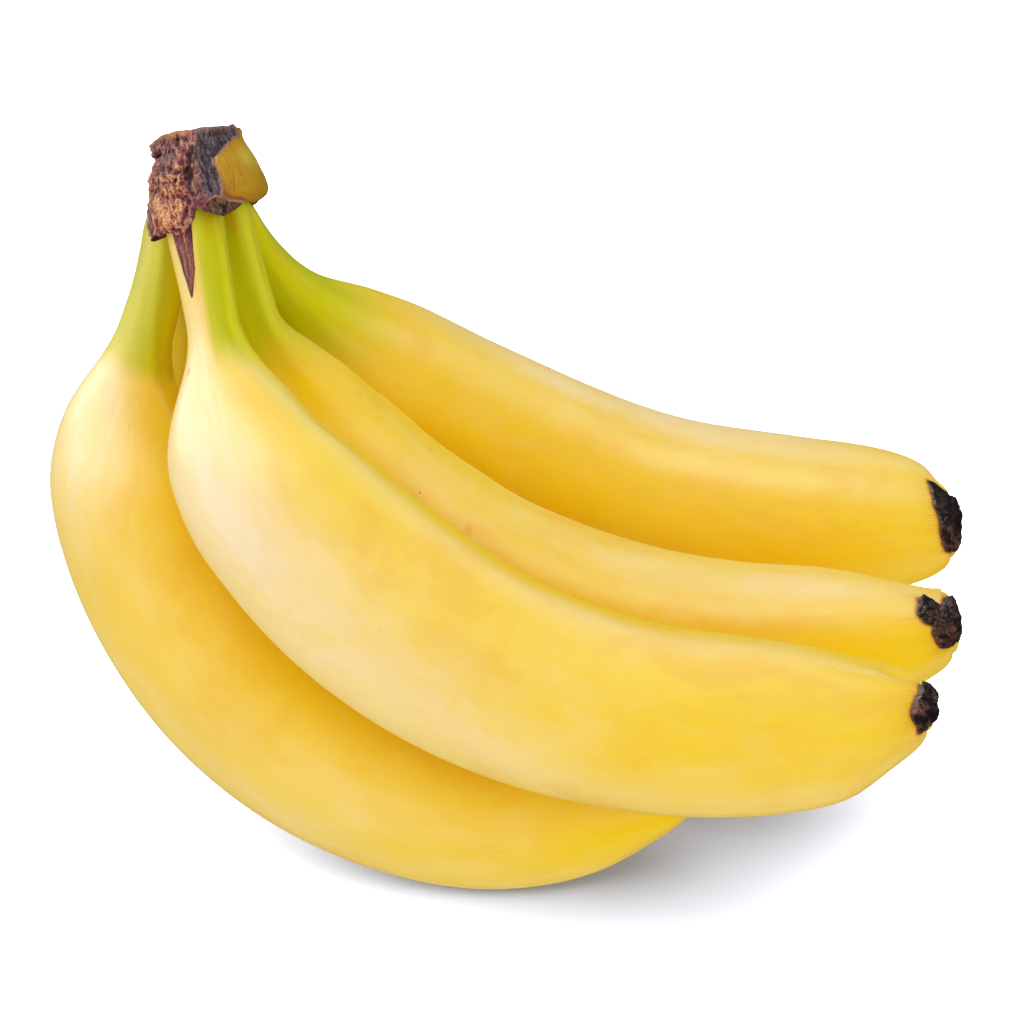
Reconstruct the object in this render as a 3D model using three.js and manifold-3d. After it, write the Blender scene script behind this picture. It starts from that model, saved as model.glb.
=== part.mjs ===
// A bunch of five bananas on one crown, lying as it rests on a table.
// Millimetres, +Z up. The bunch rests on z = 0, and the origin is the middle of its footprint.
// Each finger is a loft along a smooth spine. Its blunt five-sided section swells from a slender neck.
// The crown is a lumpy block of stalk that the necks grow into: each one sits in a socket a hair wider.
import * as THREE from "three";
import { mergeVertices } from "three/addons/utils/BufferGeometryUtils.js";
import Module from "manifold-3d";

const wasm = await Module();
wasm.setup();

// ---- fingers: driving dimensions ----

const GAP = 0.4; // clearance between neighbouring pieces
const RIDGES = 5; // blunt ridges round a finger
const RIDGE_SHARPNESS = 9; // exponent of the rounded polygon: higher is sharper
const FLAT_SHARE = 0.935; // distance from the spine to the middle of a flat, as a share of the radius
const NECK_END = 0.12; // share of the length where the slender neck ends
const TAPER_START = 0.45; // share of the length where the girth starts to fall off towards the tip
const TIP_CURVE = 2.2; // exponent of the tip's rounding
const SPINE_STEPS = 300; // fine steps that a spine's length is measured with
const RINGS = 36; // sections lofted along a finger
const RING_CROWDING = 1.25; // above 1, the sections stand closer together towards the tip
const RING_POINTS = 20; // points round a section

// One entry for each finger, and the names say where it lies in the bunch.
//   stations: points that its spine passes through, from inside the crown to the tip
//   neck, belly: radius there
//   shoulder: share of the length where the full girth is reached
//   taper: share of the girth that is lost by the tip
//   round: share of the length where the tip starts to round off
//   tip: radius of the blunt tip, as a share of the girth
//   roll: turn of the ridges about the spine, in degrees
//   crust: length of the dried blossom end that stands on the tip
const FINGERS = [
  {
    name: "lower_front",
    stations: [
      [-67, 12, 122],
      [-69, 11, 108],
      [-75, 6, 80],
      [-61, -12, 44],
      [-26, -27, 19.5],
      [10, -31, 16.5],
      [33, -32, 20],
    ],
    neck: 5,
    belly: 18.6,
    shoulder: 0.32,
    taper: 0.14,
    round: 0.72,
    tip: 0.34,
    roll: 36,
    crust: 2.5,
  },
  {
    name: "front",
    stations: [
      [-61, 3.5, 130],
      [-58, -7, 112],
      [-54, -17, 97],
      [-36, -31, 74],
      [5, -44, 51],
      [48, -47, 45.5],
      [76, -46, 48.5],
    ],
    neck: 5,
    belly: 19,
    shoulder: 0.32,
    taper: 0.16,
    round: 0.71,
    tip: 0.36,
    roll: 0,
    crust: 3,
  },
  {
    name: "middle",
    stations: [
      [-57, 17, 124],
      [-52, 11, 103],
      [-43, 10, 82],
      [-14, 2, 52],
      [22, -4, 38],
      [55, -6, 36],
      [85, -6, 40.5],
    ],
    neck: 5,
    belly: 18.2,
    shoulder: 0.34,
    taper: 0.1,
    round: 0.7,
    tip: 0.38,
    roll: 36,
    crust: 3,
  },
  {
    name: "back",
    stations: [
      [-58, 29, 118],
      [-46.5, 35, 94],
      [-20, 45, 65],
      [19, 44, 45],
      [55, 37, 40],
      [89, 35, 41],
    ],
    neck: 5,
    belly: 18,
    shoulder: 0.34,
    taper: 0.04,
    round: 0.72,
    tip: 0.44,
    roll: 12,
    crust: 2.5,
  },
  {
    name: "lower_back",
    stations: [
      [-66.5, 22, 115],
      [-64, 30, 90],
      [-60, 34, 58],
      [-38, 33, 27],
      [-8, 28.5, 17],
      [22, 20, 17],
      [37, 14, 16.5],
    ],
    neck: 5,
    belly: 17.8,
    shoulder: 0.38,
    taper: 0.14,
    round: 0.72,
    tip: 0.36,
    roll: 54,
    crust: 2.5,
  },
];

// ---- crown: driving dimensions ----

const CROWN_CENTRE = new THREE.Vector3(-60, 21, 127);
const CROWN_RIGHT = new THREE.Vector3(0.96, 0.135, 0.234).normalize(); // across the row of necks
const CROWN_BACK = new THREE.Vector3(0, 0.866, -0.5).normalize(); // along the row of necks
const CROWN_UP = CROWN_RIGHT.clone().cross(CROWN_BACK); // away from the fingers, towards the dried cut
// Each level: height above the centre, then how far it reaches left, right, front and back of the centre.
const CROWN_LEVELS = [
  [-11, -9, 7, -20, 13],
  [-9.5, -12, 8.5, -23, 17],
  [-6, -12, 10.5, -24, 19],
  [-3, -11, 11.5, -24, 19],
  [1, -9.6, 10.6, -23, 18],
  [4, -9.8, 9.6, -22, 17],
  [6.3, -9.3, 8.8, -21, 16],
];
const CROWN_POINTS = 40; // points round a level
const CROWN_RINGS = 14; // levels lofted from the ones above
const CROWN_SQUARENESS = 2.7; // exponent of the rounded outline: 2 is an ellipse
const CROWN_LUMPS = [
  // waves round the crown: how many, how deep as a share of the radius, and their turn per mm of height
  { waves: 3, depth: 0.03, twist: 0.1 },
  { waves: 7, depth: 0.02, twist: -0.17 },
  { waves: 12, depth: 0.012, twist: 0.24 },
];
const SOCKET_SHARE = 0.22; // share of a finger's length that its socket follows
const SPIKE_TOP = new THREE.Vector3(-62.5, -1, 133); // the dried spike that runs down the front finger's neck
const SPIKE_TIP = new THREE.Vector3(-61, -11.5, 117);
const SPIKE_RADIUS = 2.6;
const SPIKE_TIP_RADIUS = 0.5;
const SPIKE_RINGS = 6;
const SPIKE_POINTS = 10;

// ---- blossom ends: shape, as shares of the blunt tip's radius and of the crust's length ----

const CRUST_PROFILE = [
  [0, 0.9],
  [0.25, 1.0],
  [0.6, 0.86],
  [0.9, 0.6],
  [1, 0.34],
];
const CRUST_POINTS = 14;
const CRUST_LUMPS = { waves: 5, depth: 0.09 };

// ---- colours ----

const PEEL = { color: 0xe9c544, roughness: 0.48, metalness: 0 };
const STALK = { color: 0x6f4f3c, roughness: 0.9, metalness: 0 };
const CRUST = { color: 0x2f2520, roughness: 0.95, metalness: 0 };

// ---- geometry ----

/** Rises smoothly from 0 to 1 as x goes from 0 to 1. */
function smooth(x) {
  const t = THREE.MathUtils.clamp(x, 0, 1);
  return t * t * (3 - 2 * t);
}

/** Second derivatives of the natural cubic spline through values at knots (tridiagonal sweep). */
function splineBends(knots, values) {
  const last = knots.length - 1;
  const bends = new Array(last + 1).fill(0);
  const carry = new Array(last + 1).fill(0);
  for (let i = 1; i < last; i++) {
    const before = knots[i] - knots[i - 1];
    const after = knots[i + 1] - knots[i];
    const share = before / (before + after);
    const pivot = share * bends[i - 1] + 2;
    const slopes = (values[i + 1] - values[i]) / after - (values[i] - values[i - 1]) / before;
    bends[i] = (share - 1) / pivot;
    carry[i] = ((6 * slopes) / (before + after) - share * carry[i - 1]) / pivot;
  }
  bends[last] = 0;
  for (let i = last - 1; i >= 0; i--) bends[i] = bends[i] * bends[i + 1] + carry[i];
  return bends;
}

/** A function of u that runs smoothly through the rows of a table, whose knots are the given ones. */
function splineThrough(knots, rows) {
  const columns = rows[0].map((_, column) => rows.map((row) => row[column]));
  const bends = columns.map((values) => splineBends(knots, values));
  return (u) => {
    let i = 0;
    while (i < knots.length - 2 && u > knots[i + 1]) i++;
    const step = knots[i + 1] - knots[i];
    const a = (knots[i + 1] - u) / step;
    const b = 1 - a;
    return columns.map((values, column) => {
      const bend = (a ** 3 - a) * bends[column][i] + (b ** 3 - b) * bends[column][i + 1];
      return a * values[i] + b * values[i + 1] + (bend * step * step) / 6;
    });
  };
}

/** The spine of a finger: a point and a direction for each share of its length. */
function spineOf(stations) {
  const points = stations.map((station) => new THREE.Vector3(...station));
  const knots = [0];
  for (let i = 1; i < points.length; i++) knots.push(knots[i - 1] + points[i].distanceTo(points[i - 1]));
  const through = splineThrough(knots, stations);
  const fine = [];
  const travelled = [0];
  for (let i = 0; i <= SPINE_STEPS; i++) {
    fine.push(new THREE.Vector3(...through((knots.at(-1) * i) / SPINE_STEPS)));
    if (i > 0) travelled.push(travelled[i - 1] + fine[i].distanceTo(fine[i - 1]));
  }
  const length = travelled.at(-1);
  const pointAt = (share) => {
    const goal = THREE.MathUtils.clamp(share, 0, 1) * length;
    let i = 1;
    while (i < SPINE_STEPS && travelled[i] < goal) i++;
    const part = (goal - travelled[i - 1]) / (travelled[i] - travelled[i - 1]);
    return fine[i - 1].clone().lerp(fine[i], part);
  };
  const step = 1 / SPINE_STEPS;
  const directionAt = (share) => pointAt(share + step).sub(pointAt(share - step)).normalize();
  // The side axis stands square to the plane that the finger curves in, on its front.
  const middle = points[Math.floor(points.length / 2)];
  const side = middle.clone().sub(points[0]).cross(points.at(-1).clone().sub(points[0])).normalize();
  if (side.y > 0) side.negate();
  return { length, pointAt, directionAt, side };
}

/** Radius of a finger at a share of its length. */
function girthAt(finger, share) {
  const swell = smooth((share - NECK_END) / (finger.shoulder - NECK_END));
  const body = finger.neck + (finger.belly - finger.neck) * swell;
  const slimmed = body * (1 - finger.taper * smooth((share - TAPER_START) / (1 - TAPER_START)));
  const x = THREE.MathUtils.clamp((share - finger.round) / (1 - finger.round), 0, 1);
  return slimmed * (finger.tip + (1 - finger.tip) * Math.sqrt(1 - x ** TIP_CURVE));
}

/** Radius of the blunt five-sided section in one direction, as a share of the girth. */
function sectionAt(angle, roll) {
  let sum = 0;
  for (let i = 0; i < RIDGES; i++) {
    const facing = Math.cos(angle - roll - (2 * Math.PI * i) / RIDGES) / FLAT_SHARE;
    if (facing > 0) sum += facing ** RIDGE_SHARPNESS;
  }
  return sum ** (-1 / RIDGE_SHARPNESS);
}

/** One closed ring of points round a spine, with a radius for each angle. */
function ringAround(centre, direction, side, points, radiusAt) {
  const up = side.clone().cross(direction).normalize();
  const out = direction.clone().cross(up);
  const ring = [];
  for (let i = 0; i < points; i++) {
    const angle = (2 * Math.PI * i) / points;
    const radius = radiusAt(angle);
    const point = centre.clone().addScaledVector(up, radius * Math.cos(angle));
    ring.push(point.addScaledVector(out, radius * Math.sin(angle)));
  }
  return ring;
}

/** A closed skin over rings that turn right-handed about the way they are stacked, with flat ends. */
function loft(rings) {
  const count = rings[0].length;
  const centres = [rings[0], rings.at(-1)].map((ring) =>
    ring.reduce((sum, point) => sum.add(point), new THREE.Vector3()).divideScalar(count),
  );
  const vertices = [...rings.flat(), ...centres];
  const first = rings.length * count;
  const top = (rings.length - 1) * count;
  const faces = [];
  for (let i = 0; i < count; i++) {
    const next = (i + 1) % count;
    for (let row = 0; row < top; row += count) {
      faces.push(row + i, row + next, row + count + i);
      faces.push(row + next, row + count + next, row + count + i);
    }
    faces.push(first, next, i);
    faces.push(first + 1, top + i, top + next);
  }
  const geometry = new THREE.BufferGeometry().setFromPoints(vertices);
  geometry.setIndex(faces);
  return geometry;
}

/** A closed geometry as a manifold-3d solid. */
function solidOf(geometry) {
  const bare = new THREE.BufferGeometry();
  bare.setAttribute("position", geometry.getAttribute("position"));
  bare.setIndex(geometry.getIndex());
  const merged = mergeVertices(bare);
  return new wasm.Manifold(
    new wasm.Mesh({
      numProp: 3,
      vertProperties: merged.getAttribute("position").array,
      triVerts: new Uint32Array(merged.getIndex().array),
    }),
  );
}

/** A manifold-3d solid as a three.js geometry. */
function geometryOf(solid) {
  const mesh = solid.getMesh();
  const geometry = new THREE.BufferGeometry();
  geometry.setAttribute("position", new THREE.BufferAttribute(mesh.vertProperties, 3));
  geometry.setIndex(new THREE.BufferAttribute(mesh.triVerts, 1));
  return geometry;
}

/** The sections of a finger from its root to a share of its length, grown outwards by a margin. */
function fingerRings(finger, spine, until, margin) {
  const roll = THREE.MathUtils.degToRad(finger.roll);
  const rings = [];
  for (let i = 0; i < RINGS; i++) {
    const share = until * (1 - (1 - i / (RINGS - 1)) ** RING_CROWDING);
    const girth = girthAt(finger, share);
    const radiusAt = (angle) => girth * sectionAt(angle, roll) + margin;
    rings.push(ringAround(spine.pointAt(share), spine.directionAt(share), spine.side, RING_POINTS, radiusAt));
  }
  return rings;
}

/** A finger, pressed flat where it would reach below the surface that it rests on. */
function banana(finger) {
  const skin = loft(fingerRings(finger, spineOf(finger.stations), 1, 0));
  skin.computeBoundingBox();
  if (skin.boundingBox.min.z >= 0) return skin;
  const size = skin.boundingBox.getSize(new THREE.Vector3());
  const middle = skin.boundingBox.getCenter(new THREE.Vector3());
  const table = new THREE.BoxGeometry(2 * size.x, 2 * size.y, size.z);
  table.translate(middle.x, middle.y, -size.z / 2);
  return geometryOf(solidOf(skin).subtract(solidOf(table)));
}

/** The room that a neck takes in the crown: the neck itself, grown by the clearance on every side. */
function socket(finger) {
  const spine = spineOf(finger.stations);
  const rings = fingerRings(finger, spine, SOCKET_SHARE, GAP);
  const back = spine.directionAt(0).multiplyScalar(-GAP);
  rings.unshift(rings[0].map((point) => point.clone().add(back)));
  return solidOf(loft(rings));
}

/** A point of the crown, from its distances right, back and up of the crown's centre. */
function crownPoint(right, back, up) {
  const point = CROWN_CENTRE.clone().addScaledVector(CROWN_RIGHT, right);
  return point.addScaledVector(CROWN_BACK, back).addScaledVector(CROWN_UP, up);
}

/** Signed power of a sine or cosine, which squares a circle's outline. */
function squared(value) {
  return Math.sign(value) * Math.abs(value) ** (2 / CROWN_SQUARENESS);
}

/** The crown's block, before its sockets are cut. */
function crownBlock() {
  const heights = CROWN_LEVELS.map((level) => level[0]);
  const reachAt = splineThrough(heights, CROWN_LEVELS);
  const rings = [];
  for (let row = 0; row < CROWN_RINGS; row++) {
    const share = row / (CROWN_RINGS - 1);
    const [up, left, right, front, back] = reachAt(THREE.MathUtils.lerp(heights[0], heights.at(-1), share));
    const ring = [];
    for (let i = 0; i < CROWN_POINTS; i++) {
      const angle = (2 * Math.PI * i) / CROWN_POINTS;
      let lump = 1;
      for (const { waves, depth, twist } of CROWN_LUMPS) lump += depth * Math.sin(waves * angle + twist * up);
      const across = (left + right) / 2 + ((right - left) / 2) * lump * squared(Math.cos(angle));
      const along = (front + back) / 2 + ((back - front) / 2) * lump * squared(Math.sin(angle));
      ring.push(crownPoint(across, along, up));
    }
    rings.push(ring);
  }
  return solidOf(loft(rings));
}

/** The dried spike, a slender cone that leaves the crown and lies along the front finger's neck. */
function spike() {
  const direction = SPIKE_TIP.clone().sub(SPIKE_TOP).normalize();
  const rings = [];
  for (let row = 0; row < SPIKE_RINGS; row++) {
    const share = row / (SPIKE_RINGS - 1);
    const radius = THREE.MathUtils.lerp(SPIKE_RADIUS, SPIKE_TIP_RADIUS, share);
    const centre = SPIKE_TOP.clone().lerp(SPIKE_TIP, share);
    rings.push(ringAround(centre, direction, CROWN_RIGHT, SPIKE_POINTS, () => radius));
  }
  return solidOf(loft(rings));
}

/** The crown with its spike, and a socket for each neck. */
function crown() {
  let solid = crownBlock().add(spike());
  for (const finger of FINGERS) solid = solid.subtract(socket(finger));
  return geometryOf(solid);
}

/** The dried blossom end: a lumpy cap that stands on the blunt tip. */
function blossomEnd(finger) {
  const spine = spineOf(finger.stations);
  const direction = spine.directionAt(1);
  const base = spine.pointAt(1).addScaledVector(direction, GAP);
  const tip = girthAt(finger, 1);
  const rings = CRUST_PROFILE.map(([share, reach]) => {
    const centre = base.clone().addScaledVector(direction, share * finger.crust);
    const lump = (angle) => 1 + CRUST_LUMPS.depth * Math.sin(CRUST_LUMPS.waves * angle + finger.roll);
    return ringAround(centre, direction, spine.side, CRUST_POINTS, (angle) => tip * reach * lump(angle));
  });
  return loft(rings);
}

// ---- assembly ----

/** A named mesh of one piece. */
function piece(name, geometry, finish) {
  geometry.computeVertexNormals();
  const mesh = new THREE.Mesh(geometry, new THREE.MeshStandardMaterial(finish));
  mesh.name = name;
  return mesh;
}

const bunch = new THREE.Group();
bunch.add(piece("crown", crown(), STALK));
for (const finger of FINGERS) {
  bunch.add(piece(`banana_${finger.name}`, banana(finger), PEEL));
  bunch.add(piece(`blossom_end_${finger.name}`, blossomEnd(finger), CRUST));
}

export default bunch;
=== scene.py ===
"""A bunch of five bananas on one crown: the looks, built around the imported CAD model.

Sizes in the classes are millimetres in the frame of the CAD model, +Z up, and meshes are made in metres.
Each finger is a skin carried along a curved spine, and the dried crusts and the spike are patches of that
skin, lifted off it. The crown is a skin round an upright axis, whose zones are told apart by where they lie.
"""

import logging
import math
from dataclasses import dataclass, field
from enum import Enum
from typing import Sequence

import bpy
import numpy as np
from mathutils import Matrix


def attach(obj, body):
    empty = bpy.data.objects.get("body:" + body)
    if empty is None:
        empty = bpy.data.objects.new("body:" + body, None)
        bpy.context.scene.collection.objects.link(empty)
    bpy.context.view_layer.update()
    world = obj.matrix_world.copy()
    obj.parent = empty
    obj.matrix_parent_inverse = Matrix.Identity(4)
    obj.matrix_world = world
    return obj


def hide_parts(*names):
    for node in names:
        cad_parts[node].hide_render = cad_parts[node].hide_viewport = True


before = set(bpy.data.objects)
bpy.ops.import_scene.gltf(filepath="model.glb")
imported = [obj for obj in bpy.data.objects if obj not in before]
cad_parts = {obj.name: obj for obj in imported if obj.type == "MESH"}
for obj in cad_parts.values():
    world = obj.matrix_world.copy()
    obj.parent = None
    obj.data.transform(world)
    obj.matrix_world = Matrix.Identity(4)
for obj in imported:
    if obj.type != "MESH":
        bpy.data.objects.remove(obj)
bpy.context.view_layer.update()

Array = np.ndarray
Colour = tuple[float, float, float]
Table = Sequence[Sequence[float]]
Piece = bpy.types.Object
Material = bpy.types.Material
Socket = bpy.types.NodeSocket
Sockets = dict[str, Socket]

LOG = logging.getLogger("bananas")


class Slot(Enum):
    """Material slots of the record."""

    PEEL = "peel"
    CRUST = "crust"
    STALK = "stalk"


MM = 0.001
TURN = 2 * math.pi
TINY = 1e-12
ROOT = "root"


# ---- numbers and noise ----


def smooth(x: Array) -> Array:
    """Rises from 0 to 1 as x goes from 0 to 1: 3 x squared less 2 x cubed."""
    t = np.clip(x, 0.0, 1.0)
    return t * t * (3.0 - 2.0 * t)


def bump(x: Array, centre: float, width: float) -> Array:
    """A bell of height 1 at the centre: e to the power of minus the squared distance in widths."""
    return np.exp(-(((x - centre) / width) ** 2))


def unit(v: Array) -> Array:
    """Each vector divided by its length."""
    return v / np.maximum(np.linalg.norm(v, axis=-1, keepdims=True), TINY)


def wrapped(angle: Array) -> Array:
    """An angle in radians, brought to within half a turn of 0."""
    return np.mod(angle + math.pi, TURN) - math.pi


def creased(noise: Array) -> Array:
    """Folds with sharp creases: 1 less 2.4 times the noise without its sign, less the mean of that."""
    folded = 1.0 - 2.4 * np.abs(noise)
    return folded - folded.mean()


class Grain:
    """Smooth noise between -1 and 1: random values on a wrapped cubic lattice, eased between its corners."""

    SIZE = 32
    SHIFT = 7.3

    def __init__(self, seed: int) -> None:
        """Draws the lattice.

        Args:
            seed: picks the lattice, so that every run draws the same one.
        """
        self.lattice = np.random.default_rng(seed).uniform(-1.0, 1.0, (self.SIZE,) * 3)

    def at(self, points: Array, size: float) -> Array:
        """Noise at points, whose features are about the given size.

        Args:
            points: positions, three numbers each.
            size: distance between lattice corners, in the unit of the points.

        Returns:
            One number for each point.
        """
        scaled = points / size
        cell = np.floor(scaled).astype(int)
        part = smooth(scaled - cell)
        total = np.zeros(points.shape[:-1])
        for corner in np.ndindex(2, 2, 2):
            index = [(cell[..., axis] + corner[axis]) % self.SIZE for axis in range(3)]
            share = np.ones(points.shape[:-1])
            for axis in range(3):
                share = share * (part[..., axis] if corner[axis] else 1.0 - part[..., axis])
            total += share * self.lattice[index[0], index[1], index[2]]
        return total

    def layered(self, points: Array, size: float, layers: int = 3) -> Array:
        """Noise with finer layers on it, each half the size and half the height of the one before.

        Args:
            points: positions, three numbers each.
            size: size of the coarsest features.
            layers: how many layers.

        Returns:
            One number for each point, about -1 to 1.
        """
        total = sum(self.at(points + self.SHIFT * k, size / 2**k) / 2**k for k in range(layers))
        return total / (2.0 - 0.5 ** (layers - 1))


def through(knots: Sequence[float], rows: Array, u: Array) -> Array:
    """Natural cubic spline: a curve with no bend at its ends that passes through the rows at the knots.

    Args:
        knots: rising parameter of each row.
        rows: one row of values for each knot.
        u: parameters at which the curve is wanted.

    Returns:
        One row of values for each parameter.
    """
    x = np.asarray(knots, float)
    y = np.asarray(rows, float)
    step = np.diff(x)
    count = len(x)
    system = np.eye(count)
    right = np.zeros_like(y)
    inner = np.arange(1, count - 1)
    system[inner, inner - 1] = step[:-1]
    system[inner, inner] = 2.0 * (step[:-1] + step[1:])
    system[inner, inner + 1] = step[1:]
    slope = np.diff(y, axis=0) / step[:, None]
    right[1:-1] = 6.0 * np.diff(slope, axis=0)
    bend = np.linalg.solve(system, right)
    i = np.clip(np.searchsorted(x, u) - 1, 0, count - 2)
    h = step[i][..., None]
    a = ((x[i + 1] - u) / step[i])[..., None]
    b = 1.0 - a
    return a * y[i] + b * y[i + 1] + ((a**3 - a) * bend[i] + (b**3 - b) * bend[i + 1]) * h * h / 6.0


# ---- meshes ----


def grid_faces(rows: int, columns: int) -> Array:
    """Quads of a grid that is closed round its columns, with vertices stored row by row.

    Args:
        rows: rows of vertices.
        columns: vertices round a row.

    Returns:
        Four vertex numbers for each quad.
    """
    r = np.arange(rows - 1)[:, None] * columns
    c = np.arange(columns)[None, :]
    n = (c + 1) % columns
    return np.stack([r + c, r + n, r + columns + n, r + columns + c], -1).reshape(-1, 4)


def closed_skin(name: str, points: Array, first: Array, last: Array) -> Piece:
    """A closed mesh over a grid of rings, with a point that closes each end.

    Args:
        name: name of the piece.
        points: rows by columns by three, in millimetres, right-handed about the way they are stacked.
        first: the point before the first ring.
        last: the point after the last ring.

    Returns:
        The object, which sits at the origin.
    """
    rows, columns = points.shape[:2]
    vertices = np.concatenate([points.reshape(-1, 3), [first, last]]) * MM
    quads = grid_faces(rows, columns)
    c = np.arange(columns)
    n = (c + 1) % columns
    start, end = rows * columns, rows * columns + 1
    top = (rows - 1) * columns
    fans = np.concatenate([
        np.stack([np.full(columns, start), n, c], -1),
        np.stack([np.full(columns, end), top + c, top + n], -1),
    ])
    corners = np.concatenate([quads.ravel(), fans.ravel()])
    sizes = np.concatenate([np.full(len(quads), 4), np.full(len(fans), 3)])
    mesh = bpy.data.meshes.new(name)
    mesh.vertices.add(len(vertices))
    mesh.vertices.foreach_set("co", vertices.ravel())
    mesh.loops.add(len(corners))
    mesh.loops.foreach_set("vertex_index", corners)
    mesh.polygons.add(len(sizes))
    mesh.polygons.foreach_set("loop_start", np.concatenate([[0], np.cumsum(sizes)[:-1]]))
    mesh.polygons.foreach_set("loop_total", sizes)
    mesh.polygons.foreach_set("use_smooth", np.ones(len(sizes), bool))
    mesh.update(calc_edges=True)
    mesh.validate()
    thing = bpy.data.objects.new(name, mesh)
    bpy.context.scene.collection.objects.link(thing)
    return thing


def grid_normals(points: Array) -> Array:
    """Outward unit normals of a grid that is closed round its columns: across the ring times along the rows.

    Args:
        points: rows by columns by three.

    Returns:
        Rows by columns by three.
    """
    around = np.roll(points, -1, axis=1) - np.roll(points, 1, axis=1)
    along = np.gradient(points, axis=0)
    return unit(np.cross(around, along))


def paint(thing: Piece, name: str, values: Array, first: float = 0.0,
          last: float = 0.0) -> None:
    """Stores a number for each vertex of a closed skin, which its material reads by name.

    Args:
        thing: the object from closed_skin.
        name: name of the attribute.
        values: rows by columns.
        first: value at the point before the first ring.
        last: value at the point after the last ring.
    """
    layer = thing.data.attributes.new(name, "FLOAT", "POINT")
    numbers = np.concatenate([np.asarray(values, float).ravel(), [first, last]])
    layer.data.foreach_set("value", numbers)


def paint_vector(thing: Piece, name: str, values: Array) -> None:
    """Stores a vector for each vertex of a closed skin, and the mean of the next ring at each end point.

    Args:
        thing: the object from closed_skin.
        name: name of the attribute.
        values: rows by columns by three.
    """
    ends = np.stack([values[0].mean(0), values[-1].mean(0)])
    layer = thing.data.attributes.new(name, "FLOAT_VECTOR", "POINT")
    layer.data.foreach_set("vector", np.concatenate([values.reshape(-1, 3), ends]).ravel())


def settle(thing: Piece, slot: Slot, material: Material, *nodes: str) -> None:
    """Finishes a piece: its material, its body and the CAD nodes that it stands for, and logs its material
    slot.

    Args:
        thing: the piece.
        slot: material slot of the record.
        material: its finish.
        nodes: CAD nodes that it replaces.
    """
    thing.data.materials.append(material)
    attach(thing, ROOT)
    if nodes:
        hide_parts(*nodes)
    count = len(thing.data.vertices)
    LOG.info("%s: %d vertices, slot %s, stands for %s", thing.name, count, slot.value, nodes)


# ---- material graphs ----


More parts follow.
